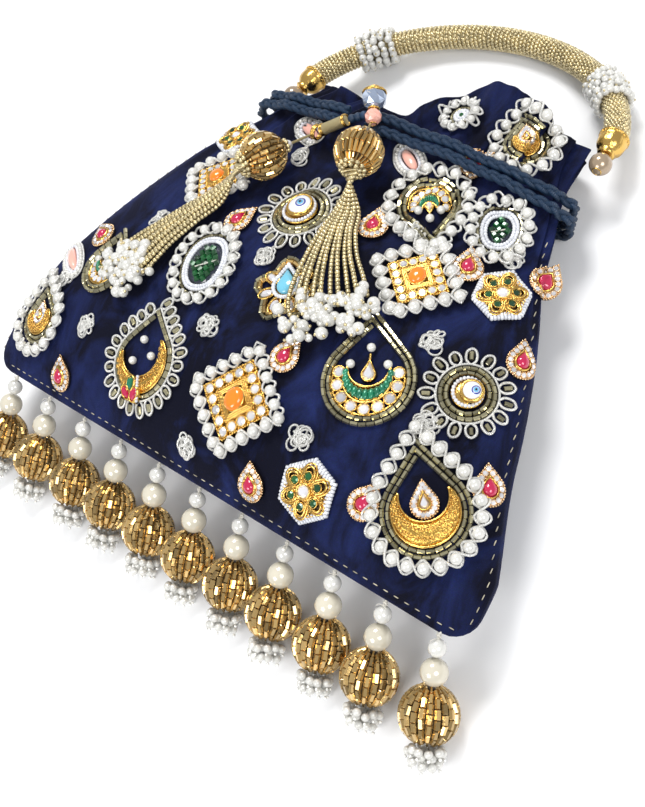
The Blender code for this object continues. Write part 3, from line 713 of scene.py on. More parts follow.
def drop_path(radius, tip, centre=(0, 0)):
    """A circle drawn out to a point above it, starting from the point."""
    open_by = math.acos(radius / tip)
    path = [(centre[0], centre[1] + tip)]
    for step in range(41):
        angle = open_by + (math.tau - 2 * open_by) * step / 40
        path.append((centre[0] + radius * math.sin(angle), centre[1] + radius * math.cos(angle)))
    return path


def arc_path(radius, start, end, centre=(0, 0), count=24):
    """From start to end, in degrees clockwise from up."""
    return [(centre[0] + radius * math.sin(math.radians(start + (end - start) * i / count)),
             centre[1] + radius * math.cos(math.radians(start + (end - start) * i / count)))
            for i in range(count + 1)]


def square_path(half):
    corner = half * math.sqrt(2)
    return [(corner * math.sin(math.radians(90 + 90 * i)),
             corner * math.cos(math.radians(90 + 90 * i))) for i in range(4)]


def leaf_path(width, length, count=24):
    """A pointed leaf, tip up."""
    right = [(width * math.sin(math.pi * i / count) ** 0.85, length * math.cos(math.pi * i / count))
             for i in range(count + 1)]
    return right + [(-x, y) for x, y in reversed(right[1:-1])]


# Work on the board

def row(work, seat, path, form, look, gap, size, height):
    for at, way in spaced(path, gap):
        normal = seat.normal_at(at.x, at.y)
        along = seat.right * way.x + seat.up * way.y
        work.bead(form, look, seat.at(at.x, at.y, height), size, along, normal)


def thread(work, seat, path, look, radius, height, gap=0.8, closed=True):
    line = [seat.at(at.x, at.y, height) for at, _ in spaced(path, gap, closed)]
    work.wire(look, radius, line, closed)


def band(work, seat, inner_line, outer_line, profile, look, closed=True):
    """A raised strip between two lines, with (share, height) points of its section."""
    count = len(inner_line)
    points, faces = [], []
    for (u1, v1), (u2, v2) in zip(inner_line, outer_line):
        for share, height in profile:
            points.append(seat.at(u1 + (u2 - u1) * share, v1 + (v2 - v1) * share, height))
    sides = len(profile)
    for step in range(count if closed else count - 1):
        a, b = step * sides, (step + 1) % count * sides
        for i in range(sides):
            j = (i + 1) % sides
            faces.append((a + i, a + j, b + j, b + i))
    if not closed:
        faces += [tuple(range(sides)), tuple(range((count - 1) * sides, count * sides))]
    work.solid(look, points, faces)


def mound(work, seat, outline, levels, look, centre=(0, 0), smooth=True, top=None):
    """A raised plate or stone over an outline, through (share, height) levels to its middle."""
    points, faces = [seat.at(*centre, levels[0][1])], []
    count = len(outline)
    for share, height in levels:
        for u, v in outline:
            points.append(seat.at(centre[0] + (u - centre[0]) * share,
                                  centre[1] + (v - centre[1]) * share, height))
    points.append(seat.at(*centre, levels[-1][1] if top is None else top))
    for i in range(count):
        j = (i + 1) % count
        faces.append((0, 1 + i, 1 + j))
        for level in range(len(levels) - 1):
            a, b = 1 + level * count, 1 + (level + 1) * count
            faces.append((a + i, b + i, b + j, a + j))
        last = 1 + (len(levels) - 1) * count
        faces.append((last + i, len(points) - 1, last + j))
    work.solid(look, points, faces, smooth)


def cabochon(work, seat, outline, low, high, look, centre=(0, 0)):
    rise = high - low
    mound(work, seat, outline, [(1, low), (1, low + rise * 0.35), (0.88, low + rise * 0.7),
                                (0.6, low + rise * 0.93)], look, centre, top=high)


def cut_stone(work, seat, outline, low, high, look, centre=(0, 0)):
    rise = high - low
    mound(work, seat, outline, [(1, low), (1, low + rise * 0.4), (0.6, high)], look, centre,
          smooth=False, top=high)


def around(radius, angle):
    """A place on the board, by its distance and its angle clockwise from up."""
    return radius * math.sin(angle), radius * math.cos(angle)


def moved(path, u, v, turn=0.0, scale=1.0):
    c, s = math.cos(math.radians(turn)), math.sin(math.radians(turn))
    return [(u + scale * (x * c - y * s), v + scale * (x * s + y * c)) for x, y in path]


def sparkle(work, seat, u, v, radius, height, look="clear_stone", setting="gold"):
    """A small cut stone in its cup."""
    normal = seat.normal_at(u, v)
    along = seat.right + seat.up * work.dice.uniform(-1, 1)
    work.bead("cup", setting, seat.at(u, v, height), (radius, radius, radius * 1.2), along, normal)
    work.bead("gem", look, seat.at(u, v, height + 0.1), radius * 0.98, along, normal)


def pearl_border(work, seat, path, radius, gap):
    """Pearls side by side, with wire that weaves round them."""
    for at, _ in spaced(path, gap):
        work.bead("pearl", "pearl_white", seat.at(at.x, at.y, radius + 0.5), radius)
    fine = spaced(path, gap / 8)
    for side in (1, -1):
        line = []
        for number, (at, way) in enumerate(fine):
            turn = math.pi * (number / 8 + 0.5)
            swing = side * math.sin(turn) * radius * 1.22
            out = Vector((way.y, -way.x))
            height = 1.1 + radius * 0.72 + 0.6 * side * math.cos(turn)
            line.append(seat.at(at.x + out.x * swing, at.y + out.y * swing, height))
        work.wire("silver_wire", 0.47, line, True)


def rays(work, seat, path, gap, length, width):
    """Loops of wire that stand out round a motif, each with a pale pipe bead inside."""
    for at, way in spaced(path, gap):
        out = Vector((-way.y, way.x))
        if out.dot(at) < 0:
            out = -out
        side = Vector((out.y, -out.x))
        long = length * work.dice.uniform(0.88, 1.1)
        loop = []
        for share, spread in ((0, 0.2), (0.22, 0.85), (0.5, 1), (0.82, 0.8), (1, 0.1), (0.82, -0.8),
                              (0.5, -1), (0.22, -0.85), (0, -0.2)):
            spot = at + out * (share * long) + side * (spread * width / 2)
            loop.append(seat.at(spot.x, spot.y, 0.95))
        work.wire("silver_wire", 0.5, smooth_line(loop, 3))
        middle = at + out * (0.55 * long)
        normal = seat.normal_at(middle.x, middle.y)
        work.bead("bugle", "bugle_pale", seat.at(middle.x, middle.y, 0.8), (long * 0.5, 0.85, 0.85),
                  seat.right * out.x + seat.up * out.y, normal)
    thread(work, seat, path, "silver_wire", 0.45, 1.0)


def pipe_row(work, seat, path, height, radius=0.85, gap=2.9, look="bugle_pale"):
    row(work, seat, path, "bugle", look, gap, (gap * 0.93, radius, radius), height)


def doodle(name, x, y, size, seed):
    """A patch of silver wire laid in small round curls."""
    seat = Seat(x, y, seed * 37 % 360)
    work = Work(seed)
    dice = work.dice
    u, v, heading, spin, line = 0.0, -size * 0.5, dice.uniform(0, math.tau), 0.0, []
    for step in range(int(size * 30)):
        home = (math.atan2(-v, -u) - heading + math.pi) % math.tau - math.pi
        far = clamp((math.hypot(u, v) - size * 0.38) / (size * 0.3))
        heading += dice.uniform(-0.4, 0.4) + 0.3 * far * home
        u += 0.19 * math.cos(heading)
        v += 0.19 * math.sin(heading)
        spin += 0.46
        curl = 1.6 + 0.45 * math.sin(step * 0.13 + seed)
        height = 0.85 + 0.45 * math.sin(spin * 0.5) + 0.2 * math.sin(step * 0.05)
        line.append(seat.at(u + curl * math.cos(spin), v + curl * math.sin(spin), height))
    work.wire("silver_wire", 0.42, line)
    work.made(name, "bag", "gold")


# Motifs sewn on the front

def diamond(seat, size):
    """A square of gold and clear stones with an orange cabochon, pearls and wire round it."""
    work = Work(int(size * 7))
    half = (size - 4.4) / math.sqrt(2)
    plate = [tuple(at) for at, _ in spaced(square_path(half), half / 4)]
    mound(work, seat, plate, [(1, 0.3), (1, 1.5), (0.96, 1.9), (0.5, 1.9)], "gold_chased")
    for share, height, size_of in ((0.97, 2.0, 0.62), (0.56, 2.6, 0.5)):
        row(work, seat, square_path(half * share), "dot", "gold", 1.0, size_of, height)
    thread(work, seat, square_path(half * 0.95), "gold", 0.4, 1.5)
    pitch = half * 0.385
    for i in range(-2, 3):
        for j in range(-2, 3):
            if max(abs(i), abs(j)) == 2:
                u, v = (i - j) * pitch / math.sqrt(2), (i + j) * pitch / math.sqrt(2)
                sparkle(work, seat, u, v, pitch * 0.43, 2.0)
    for turn in range(4):
        bar = Turned(seat, 45 + 90 * turn)
        for step in (0.50, 0.44, 0.38):
            edge = half * step
            thread(work, bar, [(-edge, edge), (edge, edge)], "gold", 0.42, 2.9 - step, closed=False)
        work.bead("dot", "eye_dark", bar.at(half * 0.62, half * 0.30, 2.1), 0.7)
    oval = ring_path(half * 0.34, 24, 1.18)
    band(work, seat, moved(oval, 0, 0, 0, 0.96), moved(oval, 0, 0, 0, 1.1),
         [(0, 2), (0, 3.3), (0.6, 3.4), (1, 2.0)], "gold")
    cabochon(work, seat, oval, 2.2, 5.0, "orange_stone")
    pearl_border(work, seat, square_path(half + 2.9), 2.15, 5.2)
    return work


def scallops(work, seat, radius, start, end, count, size):
    """Round clear stones in gold along an arc."""
    for u, v in arc_path(radius, start, end, (0, 0), count - 1):
        normal = seat.normal_at(u, v)
        work.bead("cup", "gold", seat.at(u, v, 0.6), (size, size, size * 1.3), seat.right, normal)
        work.bead("gem", "clear_stone", seat.at(u, v, 0.9), size * 0.98, seat.right, normal)


def moon_lines(outer, inner, rise, start, end, count=28):
    """The two edges of a crescent with its horns up."""
    low = arc_path(outer, start, end, (0, 0), count)
    high = arc_path(inner, start + 8, end - 8, (0, rise), count)
    high[0], high[-1] = low[0], low[-1]
    return low, high


def drop_stone(work, seat, u, v, width, length, height, look, halo=0):
    """A pointed stone in a gold setting, with a ring of small stones if halo says how many."""
    stone = moved(drop_path(width / 2, length * 0.62), u, v)
    rim = moved(drop_path(width / 2 + 0.75, length * 0.62 + 1.3), u, v)
    if halo:
        wide = width / 2 + 2.9
        plate = moved(drop_path(wide, length * 0.62 + 4.4), u, v)
        plate_line = [tuple(at) for at, _ in spaced(plate, 1.6)]
        mound(work, seat, plate_line, [(1, 0.3), (1, height - 1.4), (0.93, height - 0.9)], "rose_gold",
              (u, v))
        path = moved(drop_path(width / 2 + 1.75, length * 0.62 + 2.7), u, v)
        for at, _ in spaced(path, math.tau * (width / 2 + 2.1) / halo):
            sparkle(work, seat, at.x, at.y, 0.95, height - 1.0, "clear_stone", "rose_gold")
        row(work, seat, plate, "dot", "rose_gold", 0.95, 0.5, height - 1.1)
    band(work, seat, stone, rim, [(0, 0.3), (0, height + 0.2), (0.5, height + 0.3), (1, 0.3)], "gold")
    shaped = cabochon if look == "ruby" else cut_stone
    shaped(work, seat, stone, 0.4, height + (1.3 if look == "ruby" else 0.7), look, (u, v))


def moon(seat, size, style, seed, horns=0.0):
    """A drop-shaped motif round a crescent, in the styles green, neck, gold or ruby."""
    work = Work(seed)
    bordered = style in ("gold", "neck")
    wide = size * (0.70 if bordered else 0.80)
    tip = wide * (1.62 if bordered else 1.55)
    if style == "ruby":
        wide, tip = size * 0.66, size * 0.98
    for inset in (0.9,) if style == "ruby" else (0.9, 2.9):
        pipe_row(work, seat, drop_path(wide - inset, tip - inset * 1.7), 0.95)
    if bordered:
        pearl_border(work, seat, drop_path(wide + 2.7, tip + 3.6), 2.15, 5.5)
    if style == "ruby":
        rays(work, seat, drop_path(wide + 0.7, tip + 1.0), 4.3, 5.8, 3.7)
    inside = wide - (2.2 if style == "ruby" else 4.2)
    board = Turned(seat, horns)
    if style in ("green", "neck"):
        scallops(work, board, inside - 1.9, 76, 284, 9, 1.95 if size > 18 else 1.4)
        low, high = moon_lines(inside - 4.1, inside - 5.2, inside * 0.36, 72, 288)
        band(work, board, high, low, [(0, 0.3), (0, 1.7), (1, 1.7), (1, 0.3)], "gold", closed=False)
        band(work, board, high, low, [(0.2, 1.4), (0.2, 2.1), (0.8, 2.1), (0.8, 1.4)], "emerald",
             closed=False)
        channel_stones(work, board, low, high)
        thread(work, board, low + list(reversed(high)), "gold", 0.42, 1.9, 0.7)
        thread(work, board, arc_path(inside, 84, 276), "gold", 0.4, 1.0, 0.8, closed=False)
        drop_stone(work, board, 0, inside * 0.14, inside * 0.34, inside * 0.62, 1.6, "clear_stone")
        thread(work, board, [(0, inside * 0.55), (0, inside * 0.72)], "gold", 0.5, 1.6, 0.6, closed=False)
        pearls = [(0, inside * 0.9), (-inside * 0.52, inside * 0.42), (inside * 0.52, inside * 0.42)]
    else:
        thick = 0.46 if style == "gold" else 0.34
        low, high = moon_lines(inside, inside * (1 - thick * 0.55), inside * thick, 60, 300, 36)
        rounded = [(0, 0.3), (0, 1.4), (0.22, 2.4), (0.5, 2.9), (0.8, 2.4), (1, 1.4), (1, 0.3)]
        band(work, board, high, low, rounded, "gold_chased", closed=False)
        thread(work, board, low + list(reversed(high)), "gold", 0.45, 1.6, 0.7)
        filigree(work, board, low, high)
        pearls = []
        if style == "gold":
            drop_stone(work, board, 0, inside * 0.22, inside * 0.30, inside * 0.55, 2.6, "clear_stone", 16)
        else:
            pearls = [(inside * 0.12, inside * 0.72), (-inside * 0.36, inside * 0.12),
                      (inside * 0.42, inside * 0.10)]
            leaf_of_stones(work, board, -inside * 0.42, -inside * 0.92)
    for u, v in pearls:
        work.bead("pearl", "pearl_white", board.at(u, v, 1.9), 1.6)
    return work


def channel_stones(work, board, low, high):
    """Emeralds side by side across a crescent, each as long as the crescent is wide there."""
    for number in range(2, len(low) - 2, 2):
        (u1, v1), (u2, v2) = high[number], low[number]
        wide = math.hypot(u2 - u1, v2 - v1)
        gap = math.hypot(low[number + 1][0] - low[number - 1][0], low[number + 1][1] - low[number - 1][1])
        out = board.right * (u2 - u1) + board.up * (v2 - v1)
        middle = ((u1 + u2) / 2, (v1 + v2) / 2)
        work.bead("kite" if wide < 1.2 else "seed", "emerald", board.at(*middle, 2.0),
                  (wide * 0.40, gap * 0.5, 0.95), out, board.normal_at(*middle))


def filigree(work, board, low, high):
    """Scrolls of fine gold wire and grains over a crescent."""
    count = len(low)
    for number in range(3, count - 3):
        (u1, v1), (u2, v2) = high[number], low[number]
        if math.hypot(u2 - u1, v2 - v1) < 1.4:
            continue
        share = 0.3 + 0.4 * (number % 2)
        u, v = u1 + (u2 - u1) * share, v1 + (v2 - v1) * share
        work.bead("hoop", "gold", board.at(u, v, 2.8), 0.85, board.right, board.normal_at(u, v))
        work.bead("dot", "gold", board.at(u, v, 2.9), 0.42)


def leaf_of_stones(work, board, u, v):
    """One green and two red pointed stones in gold, with white seeds along them."""
    for look, du, dv, turn in (("emerald", 0.6, 3.0, -20), ("ruby", -2.3, 0.3, 20), ("ruby", 1.6, -1.4, -35)):
        outline = moved(leaf_path(1.6, 2.7, 10), u + du, v + dv, turn)
        rim = moved(leaf_path(2.3, 3.4, 10), u + du, v + dv, turn)
        band(work, board, outline, rim, [(0, 1.5), (0, 3.9), (0.6, 4.0), (1, 1.5)], "gold")
        cut_stone(work, board, outline, 2, 4.5, look, (u + du, v + dv))
    for step in range(9):
        work.bead("seed", "seed_white", board.at(u + 4.3 - 0.22 * step, v + 4.8 - 1.1 * step, 3.2), 0.65)


class Turned:
    """The same board turned in its plane, in degrees."""

    def __init__(self, seat, turn):
        self.seat, self.turn = seat, math.radians(turn)
        self.c, self.s = math.cos(self.turn), math.sin(self.turn)
        self.right = seat.right * self.c + seat.up * self.s
        self.up = seat.up * self.c - seat.right * self.s

    def at(self, u, v, height=0.0):
        return self.seat.at(u * self.c - v * self.s, u * self.s + v * self.c, height)

    def normal_at(self, u, v):
        return self.seat.normal_at(u * self.c - v * self.s, u * self.s + v * self.c)


def eye(seat, size, seed, shift):
    """A disc of mother-of-pearl with a blue eye, in rings of beads and loops of wire."""
    work = Work(seed)
    wide = size * 0.60
    rays(work, seat, ring_path(wide + 0.9), 4.35, size * 0.34, 3.7)
    pipe_row(work, seat, ring_path(wide - 0.6), 0.95, gap=2.6)
    pipe_row(work, seat, ring_path(wide - 2.5), 1.1, gap=2.6)
    disc = wide - 4.0
    mound(work, seat, ring_path(disc, 36), [(1, 0.3), (1, 2.0), (0.96, 2.3)], "gold")
    row(work, seat, ring_path(disc - 0.7), "seed", "seed_white", 1.25, 0.72, 2.7)
    rim = disc - 2.0
    band(work, seat, ring_path(rim - 0.5, 36, 1, shift), ring_path(rim + 0.5, 36, 1, shift),
         [(0, 2.2), (0, 4.6), (0.5, 4.9), (1, 4.3), (1, 2.2)], "gold")
    mound(work, seat, ring_path(rim - 0.5, 36, 1, shift), [(1, 2.2), (1, 4.5), (0.9, 4.9), (0.5, 5.1)],
          "mother_of_pearl", shift)
    u, v = shift[0] * 1.9, shift[1] * 1.9
    for share, look, height in ((0.42, "eye_blue", 5.15), (0.31, "seed_white", 5.3), (0.25, "eye_sky", 5.45),
                                (0.12, "eye_dark", 5.6)):
        disc_line = ring_path(rim * share, 24, 1, (u, v))
        mound(work, seat, disc_line, [(1, height - 0.4), (1, height)], look, (u, v))
    return work


def flower(seat, size, seed):
    """Six gold petals with green stones, a clear middle and a six-sided border of white seeds."""
    work = Work(seed)
    corners = [around(size, math.radians(60 * i)) for i in range(6)]
    border = [tuple(at) for at, _ in spaced(corners, size / 5)]
    for share, height in ((0.99, 1.0), (0.90, 1.3)):
        row(work, seat, moved(border, 0, 0, 0, share), "barrel", "seed_white", 1.2, (1.12, 1.0, 1.0), height)
    # A near-black plate under the petals: painted shadow where the open flower shows only shade.
    mound(work, seat, moved(border, 0, 0, 0, 0.84), [(1, 0.3), (1, 1.2), (0.9, 1.5)], "painted_shade_backing")
    for petal in range(6):
        turn = 60 * petal
        spin = math.radians(turn)
        u, v = around(size * 0.50, spin)
        for share, height in ((1.0, 1.9), (0.72, 2.3)):
            loop = moved(leaf_path(size * 0.25 * share, size * 0.36 * share, 14), u * 1.04, v * 1.04, -turn)
            thread(work, seat, loop, "gold", 0.5, height)
        sparkle(work, seat, u * 0.96, v * 0.96, size * 0.135, 2.2, "leaf_green")
        for side in (-1, 1):
            between = spin + side * 0.43
            work.bead("hoop", "gold", seat.at(*around(size * 0.70, between), 1.9), size * 0.10)
        between = spin + math.pi / 6
        work.bead("dot", "gold", seat.at(*around(size * 0.42, between), 2.1), 0.75)
    row(work, seat, ring_path(size * 0.27), "dot", "gold", 0.9, 0.5, 2.4)
    sparkle(work, seat, 0, 0, size * 0.22, 2.3)
    return work


def green_leaf(seat, size, seed):
    """Green stones in a pointed leaf, in white seeds, wire and pearls."""
    work = Work(seed)
    long = size - 4.3
    wide = long * 0.60 / 0.74
    pearl, pearl_gap, pitch = (2.0, 5.2, 2.75) if size > 10 else (1.5, 4, 1.9)
    pearl_border(work, seat, leaf_path(wide + 2.6, long + 2.8), pearl, pearl_gap)
    pipe_row(work, seat, leaf_path(wide + 0.2, long + 0.2), 0.85, radius=0.6, gap=2.4)
    row(work, seat, leaf_path(wide - 1.2, long - 1.6), "seed", "seed_white", 1.15, 0.85, 1.2)
    row(work, seat, leaf_path(wide - 2.5, long - 3.0), "seed", "seed_white", 1.15, 0.8, 1.3)
    core = leaf_path(wide - 3.3, long - 4.0, 12)
    mound(work, seat, core, [(1, 0.3), (1, 1.2)], "eye_dark")
    deep, across = long - 4.2, wide - 3.4
    for i in range(-4, 5):
        for j in range(-2, 3):
            v, u = i * pitch * 0.8, (j + 0.5 * (i % 2)) * pitch
            if abs(v) < deep and abs(u) < across * math.sin(math.pi * (v + deep) / (2 * deep)) ** 0.8 + 0.2:
                tilt = seat.right + seat.up * work.dice.uniform(-0.35, 0.35)
                stone = (pitch * 0.56, pitch * work.dice.uniform(0.50, 0.66), 1.9)
                work.bead("kite", "leaf_green", seat.at(u, v, 1.1), stone, tilt, seat.normal_at(u, v))
    thread(work, seat, [(-across * 0.7, -deep * 0.25), (across * 0.8, deep * 0.1)], "white_thread", 0.25, 2.0,
           closed=False)
    return work


def ruby_drop(name, x, y, turn, seed):
    seat = Seat(x, y, turn)
    work = Work(seed)
    drop_stone(work, seat, 0, -0.6, 5.0, 6.9, 2.7, "ruby", 14)
    work.made(name, "bag", "gold")


def turquoise_motif(seat):
    """A turquoise drop in white seeds, on gold leaves with clear stones and a pipe-bead edge."""
    work = Work(31)
    star = []
    for i in range(50):
        angle = math.tau * i / 50
        reach = 0.86 + 0.14 * math.cos(5 * angle)
        star.append((13 * math.sin(angle) * reach, 13 * math.cos(angle) * reach))
    pipe_row(work, seat, star, 0.95)
    pipe_row(work, seat, moved(star, 0, 0, 0, 0.86), 0.95, look="bugle_gold")
    for turn in (60, 110, 160, 210, 260, 310):
        spin = math.radians(turn)
        u, v = around(7.6, spin)
        path = moved(leaf_path(2.0, 3.3, 12), u, v, -turn)
        mound(work, seat, path, [(1, 0.3), (1, 1.3)], "gold_chased", (u, v))
        thread(work, seat, path, "gold", 0.4, 1.5)
        cut_stone(work, seat, moved(path, u * 0.35, v * 0.35, 0, 0.65), 1.2, 2.4, "clear_stone", (u, v))
    drop = drop_path(3.6, 6.6, (0, 1))
    row(work, seat, drop_path(4.9, 8.6, (0, 1)), "seed", "seed_white", 1.2, 0.85, 1.8)
    mound(work, seat, drop_path(5.3, 9.2, (0, 1)), [(1, 0.3), (1, 1.3)], "gold", (0, 1))
    cabochon(work, seat, drop, 1.0, 3.2, "turquoise", (0, 1))
    return work


def peach_motif(name, x, y, turn, length, seed):
    """A long peach stone between rows of white seeds and silver wire."""
    seat = Seat(x, y, turn)
    work = Work(seed)
    stone = leaf_path(2.0, length / 2, 14)
    cabochon(work, seat, stone, 0.4, 3.0, "peach_stone")
    row(work, seat, leaf_path(3.1, length / 2 + 1.2), "seed", "seed_white", 1.25, 0.85, 1.1)
    row(work, seat, leaf_path(4.4, length / 2 + 2.6), "seed", "pearl_white", 1.9, 1.05, 1.1)
    thread(work, seat, leaf_path(5.6, length / 2 + 3.8), "silver_wire", 0.4, 0.8)
    work.made(name, "bag", "peach")


def sewn(work, name, slot):
    work.made("sewn_" + name, "bag", slot, "motif_" + name)


def make_motifs():
    for name, x, y, size, turn in (("lower", 10, -48, 20, 4), ("upper", 43, 19, 17, 2),
                                   ("left", -62, 26, 16, 0)):
        sewn(diamond(Seat(x, y, turn), size), "diamond_" + name, "amber")
    for name, x, y, size, turn, style, horns in (
            ("gold", 90, -50, 22, 38, "gold", 0), ("green", 50, -21, 21, 26, "green", 0),
            ("ruby", -38, -52, 21, 12, "ruby", 20), ("neck", 27, 48, 17, -145, "neck", 0),
            ("side", -84, -26, 15, 10, "green", 10), ("edge", -104, -56, 15, 20, "gold", 0)):
        sewn(moon(Seat(x, y, turn), size, style, x * 3 + 500, horns), "crescent_" + name, "gold")
    for name, x, y, size, seed, shift in (("upper", -15, 25, 18, 41, (0.4, 0.6)),
                                          ("side", 80, -9, 16, 42, (1.2, 0.6))):
        sewn(eye(Seat(x, y), size, seed, shift), "eye_" + name, "mother_of_pearl")
    for name, x, y, size in (("lower", 50, -63, 11), ("side", 69, 28, 10), ("left", -74, 48, 9)):
        sewn(flower(Seat(x, y, 8), size, int(size * 9)), "flower_" + name, "gold")
    for name, x, y, size, turn in (("side", 54, 50, 13.5, 20), ("middle", -36, -9, 17, 20),
                                   ("frill", 16, 86, 9, 60)):
        sewn(green_leaf(Seat(x, y, turn), size, int(size * 5)), "leaf_" + name, "green_stone")
    sewn(moon(Seat(44.5, 85, 30), 12.5, "gold", 77), "drop_frill", "gold")
    turquoise_motif(Seat(3, -5, 30)).made("sewn_turquoise", "bag", "gold")
    rubies = [(-36, 12, -20), (15, 31, 20), (19, -27, -10), (-79, -71, 20), (28, -70, 20), (71, -57, -10),
              (54, 31.5, 20), (76, 42, 0), (86.5, 10, 20), (101, -33, 30), (31.5, 70, -30), (-98, -14, 60)]
    for number, (x, y, turn) in enumerate(rubies):
        ruby_drop("ruby_drop_{:02d}".format(number + 1), x, y, turn, seed=number + 1)
    doodles = [(-75, -50), (-18, -29), (61, 1), (39, -49), (-5, -70), (-14, 3.5), (29, 34), (63.5, 43),
               (75, -25), (-73, 0.5), (-69, 42), (-103, -35.5), (-36, 48)]
    for number, (x, y) in enumerate(doodles):
        doodle("wire_squiggle_{:02d}".format(number + 1), x, y, 6.6, number + 3)
    peach_motif("peach_piece_side", -107, -28, 60, 16, 91)
    peach_motif("peach_piece_neck", -41, 60, 70, 12, 92)
    peach_motif("peach_piece_middle", 8, 62, 60, 12, 93)


# Bottom tassels

PITCH, THREAD_SMALL, PEARL_STEP = 22.1, 3.9, 8.3
SMALL_PEARL, BIG_PEARL, BALL = 3.1, 4.75, 10.3
SEAT_OF_PEARL, BALL_DIP, BALL_TURN = 0.95, 0.36, math.radians(9)
LEANS = [-8, -4, 2, 1, 3, 3, 4, 3, 5, 4, 11]


def hem_setback(x):
    past = abs(x + 3) - (HALF - 10)
    return 10 - math.sqrt(100 - past ** 2) if past > 0 else 0.0


def standing(location, direction):
    """A board that stands at a place with its -Z along a direction, for turned work."""
    turn = (-Vector(direction)).to_track_quat("Z", "Y")
    return Matrix.Translation(location) @ turn.to_matrix().to_4x4()


def turned_at(radius, turn, height):
    """A place on a standing board, round its axis."""
    return Vector((radius * math.cos(turn), radius * math.sin(turn), height))


def gold_hoop(work, board, at, radius):
    """A gold hoop round the axis of a standing board."""
    spin = board.to_3x3()
    work.bead("hoop", "gold", at, radius, spin @ Vector((1, 0, 0)), spin @ Vector((0, 0, 1)))


def pipe_ball(work, frame_at, radius, columns, top, bottom, long, look, stagger=True):
    """Pipe beads down the side of a ball, column by column, over a core whose near-black colour is painted
    shade in the gaps between beads.
    """
    inside = radius - 1.3
    side = [(inside * math.sin(math.pi * i / 12), -inside * math.cos(math.pi * i / 12)) for i in range(1, 12)]
    points, faces = lathe([(0, -inside), *side, (0, inside)], 24)
    # The core is real; its near-black colour is painted shade in the gaps between the beads.
    work.solid("painted_shade_backing", [frame_at @ Vector(point) for point in points], faces)
    rows = max(1, round(radius * math.radians(bottom - top) / long))
    for column in range(columns):
        turn = math.tau * column / columns
        out = Vector((math.cos(turn), math.sin(turn), 0))
        for line in range(-1, rows):
            polar = math.radians(top + (bottom - top) * (line + 0.5 + 0.5 * (column % 2) * stagger) / rows)
            if not math.radians(top - 4) < polar < math.radians(bottom + 4):
                continue
            reach = out * math.sin(polar) + Vector((0, 0, math.cos(polar)))
            down = out * math.cos(polar) - Vector((0, 0, math.sin(polar)))
            room = math.pi * radius * math.sin(polar) / columns
            thick = min(1.3, room * 0.80)
            wobble = work.dice.uniform(-0.12, 0.12)
            spin = frame_at.to_3x3()
            sideways = spin @ reach.cross(down) * wobble
            work.bead("bugle", look, frame_at @ (reach * (radius - 0.98)), (long * 0.90, thick, 0.95),
                      (spin @ down + sideways), spin @ reach)


def tassel(number):
    x = (number - 5) * PITCH
    work = Work(number + 60)
    dice = work.dice
    lean = Matrix.Rotation(math.radians(LEANS[number]), 3, "Z")
    knot = Vector((x, HEM_Y + hem_setback(x) - 1.2, 25))
    length = THREAD_SMALL + PEARL_STEP + BIG_PEARL + 0.3 + BALL * SEAT_OF_PEARL
    drop = 25 - BALL - 0.3
    out = lean @ Vector((0, -math.sqrt(length ** 2 - drop ** 2), -drop)) / length
    small, big = knot + out * THREAD_SMALL, knot + out * (THREAD_SMALL + PEARL_STEP)
    work.bead("pearl_fine", "pearl_white", small, SMALL_PEARL)
    work.bead("pearl_fine", "pearl_ivory", big, BIG_PEARL)
    for turn in range(3):
        path = [knot + Vector((0.7 * math.cos(a), 0.2, 0.7 * math.sin(a))) for a in
                (math.tau * i / 10 + turn for i in range(11))]
        work.wire("white_thread", 0.28, [knot + Vector((0, 1.6, 0.4))] + path + [knot + out * 1.2], sides=5)
    for _ in range(2):
        stray = [knot + out * 0.6]
        heading = Vector((dice.uniform(-1, 1), dice.uniform(-0.9, 0.1), dice.uniform(0.4, 1.2)))
        for _ in range(7):
            stray.append(stray[-1] + heading.normalized() * 0.5)
            heading += Vector((dice.uniform(-0.5, 0.5), dice.uniform(-0.5, 0.5), -0.22))
        work.wire("white_thread", 0.16, stray, sides=4)
    ball_at = knot + out * length
    facing = lean @ Vector((math.sin(BALL_TURN), -math.cos(BALL_TURN), -BALL_DIP))
    board = standing(ball_at, facing)
    pipe_ball(work, board, BALL, 22, 27, 148, 3.5, "bugle_gold")
    for ring, count, low, size in ((3.4, 7, -12.8, 1.6), (5.4, 10, -11.6, 1.55), (1.4, 4, -15.2, 1.5),
                                   (4.6, 9, -15.4, 1.5)):
        for i in range(count):
            turn = math.tau * (i + dice.uniform(-0.2, 0.2)) / count + ring
            wide = ring + dice.uniform(-0.5, 0.5)
            at = board @ turned_at(wide, turn, low + dice.uniform(-0.7, 0.7))
            at.z = max(at.z, size + 0.2)
            work.bead("pearl", "pearl_white", at, size)
            pin = at + board.to_3x3() @ turned_at(0.35, turn, -1) * (size + 0.45)
            pin.z = max(pin.z, 0.7)
            work.bead("seed", "silver_wire", pin, 0.6)
    label = "tassel_{:02d}".format(number + 1)
    work.made("beaded_" + label, label, "gold_beads", label + "_pearls", label + "_ball")


# Drawstring tassels

FERRULE = (Vector((-20.5, 65.0, 44.2)), Vector((-30.5, 59.6, 41.0)))
RING_AT = FERRULE[1] + (FERRULE[1] - FERRULE[0]).normalized() * 2.7
PEACH_AT = Vector((-9.8, 69.4, 44.7))
CORD_TASSELS = {
    "left": (RING_AT, Vector((-40.6, 38.2, 49.8)),
             [(-50.5, 18), (-55.5, 6), (-60.5, -5), (-64, -13), (-67, -20), (-69, -27)],
             [3.2, 4.4, 6, 7.5, 9.5, 10.5, 8]),
    "right": (PEACH_AT, Vector((-3.2, 52.8, 48.8)),
              [(4, 32), (8, 22), (13, 12), (19, 2), (24, -5), (28, -11)],
              [3.2, 4.6, 7, 10, 14, 15, 11])}


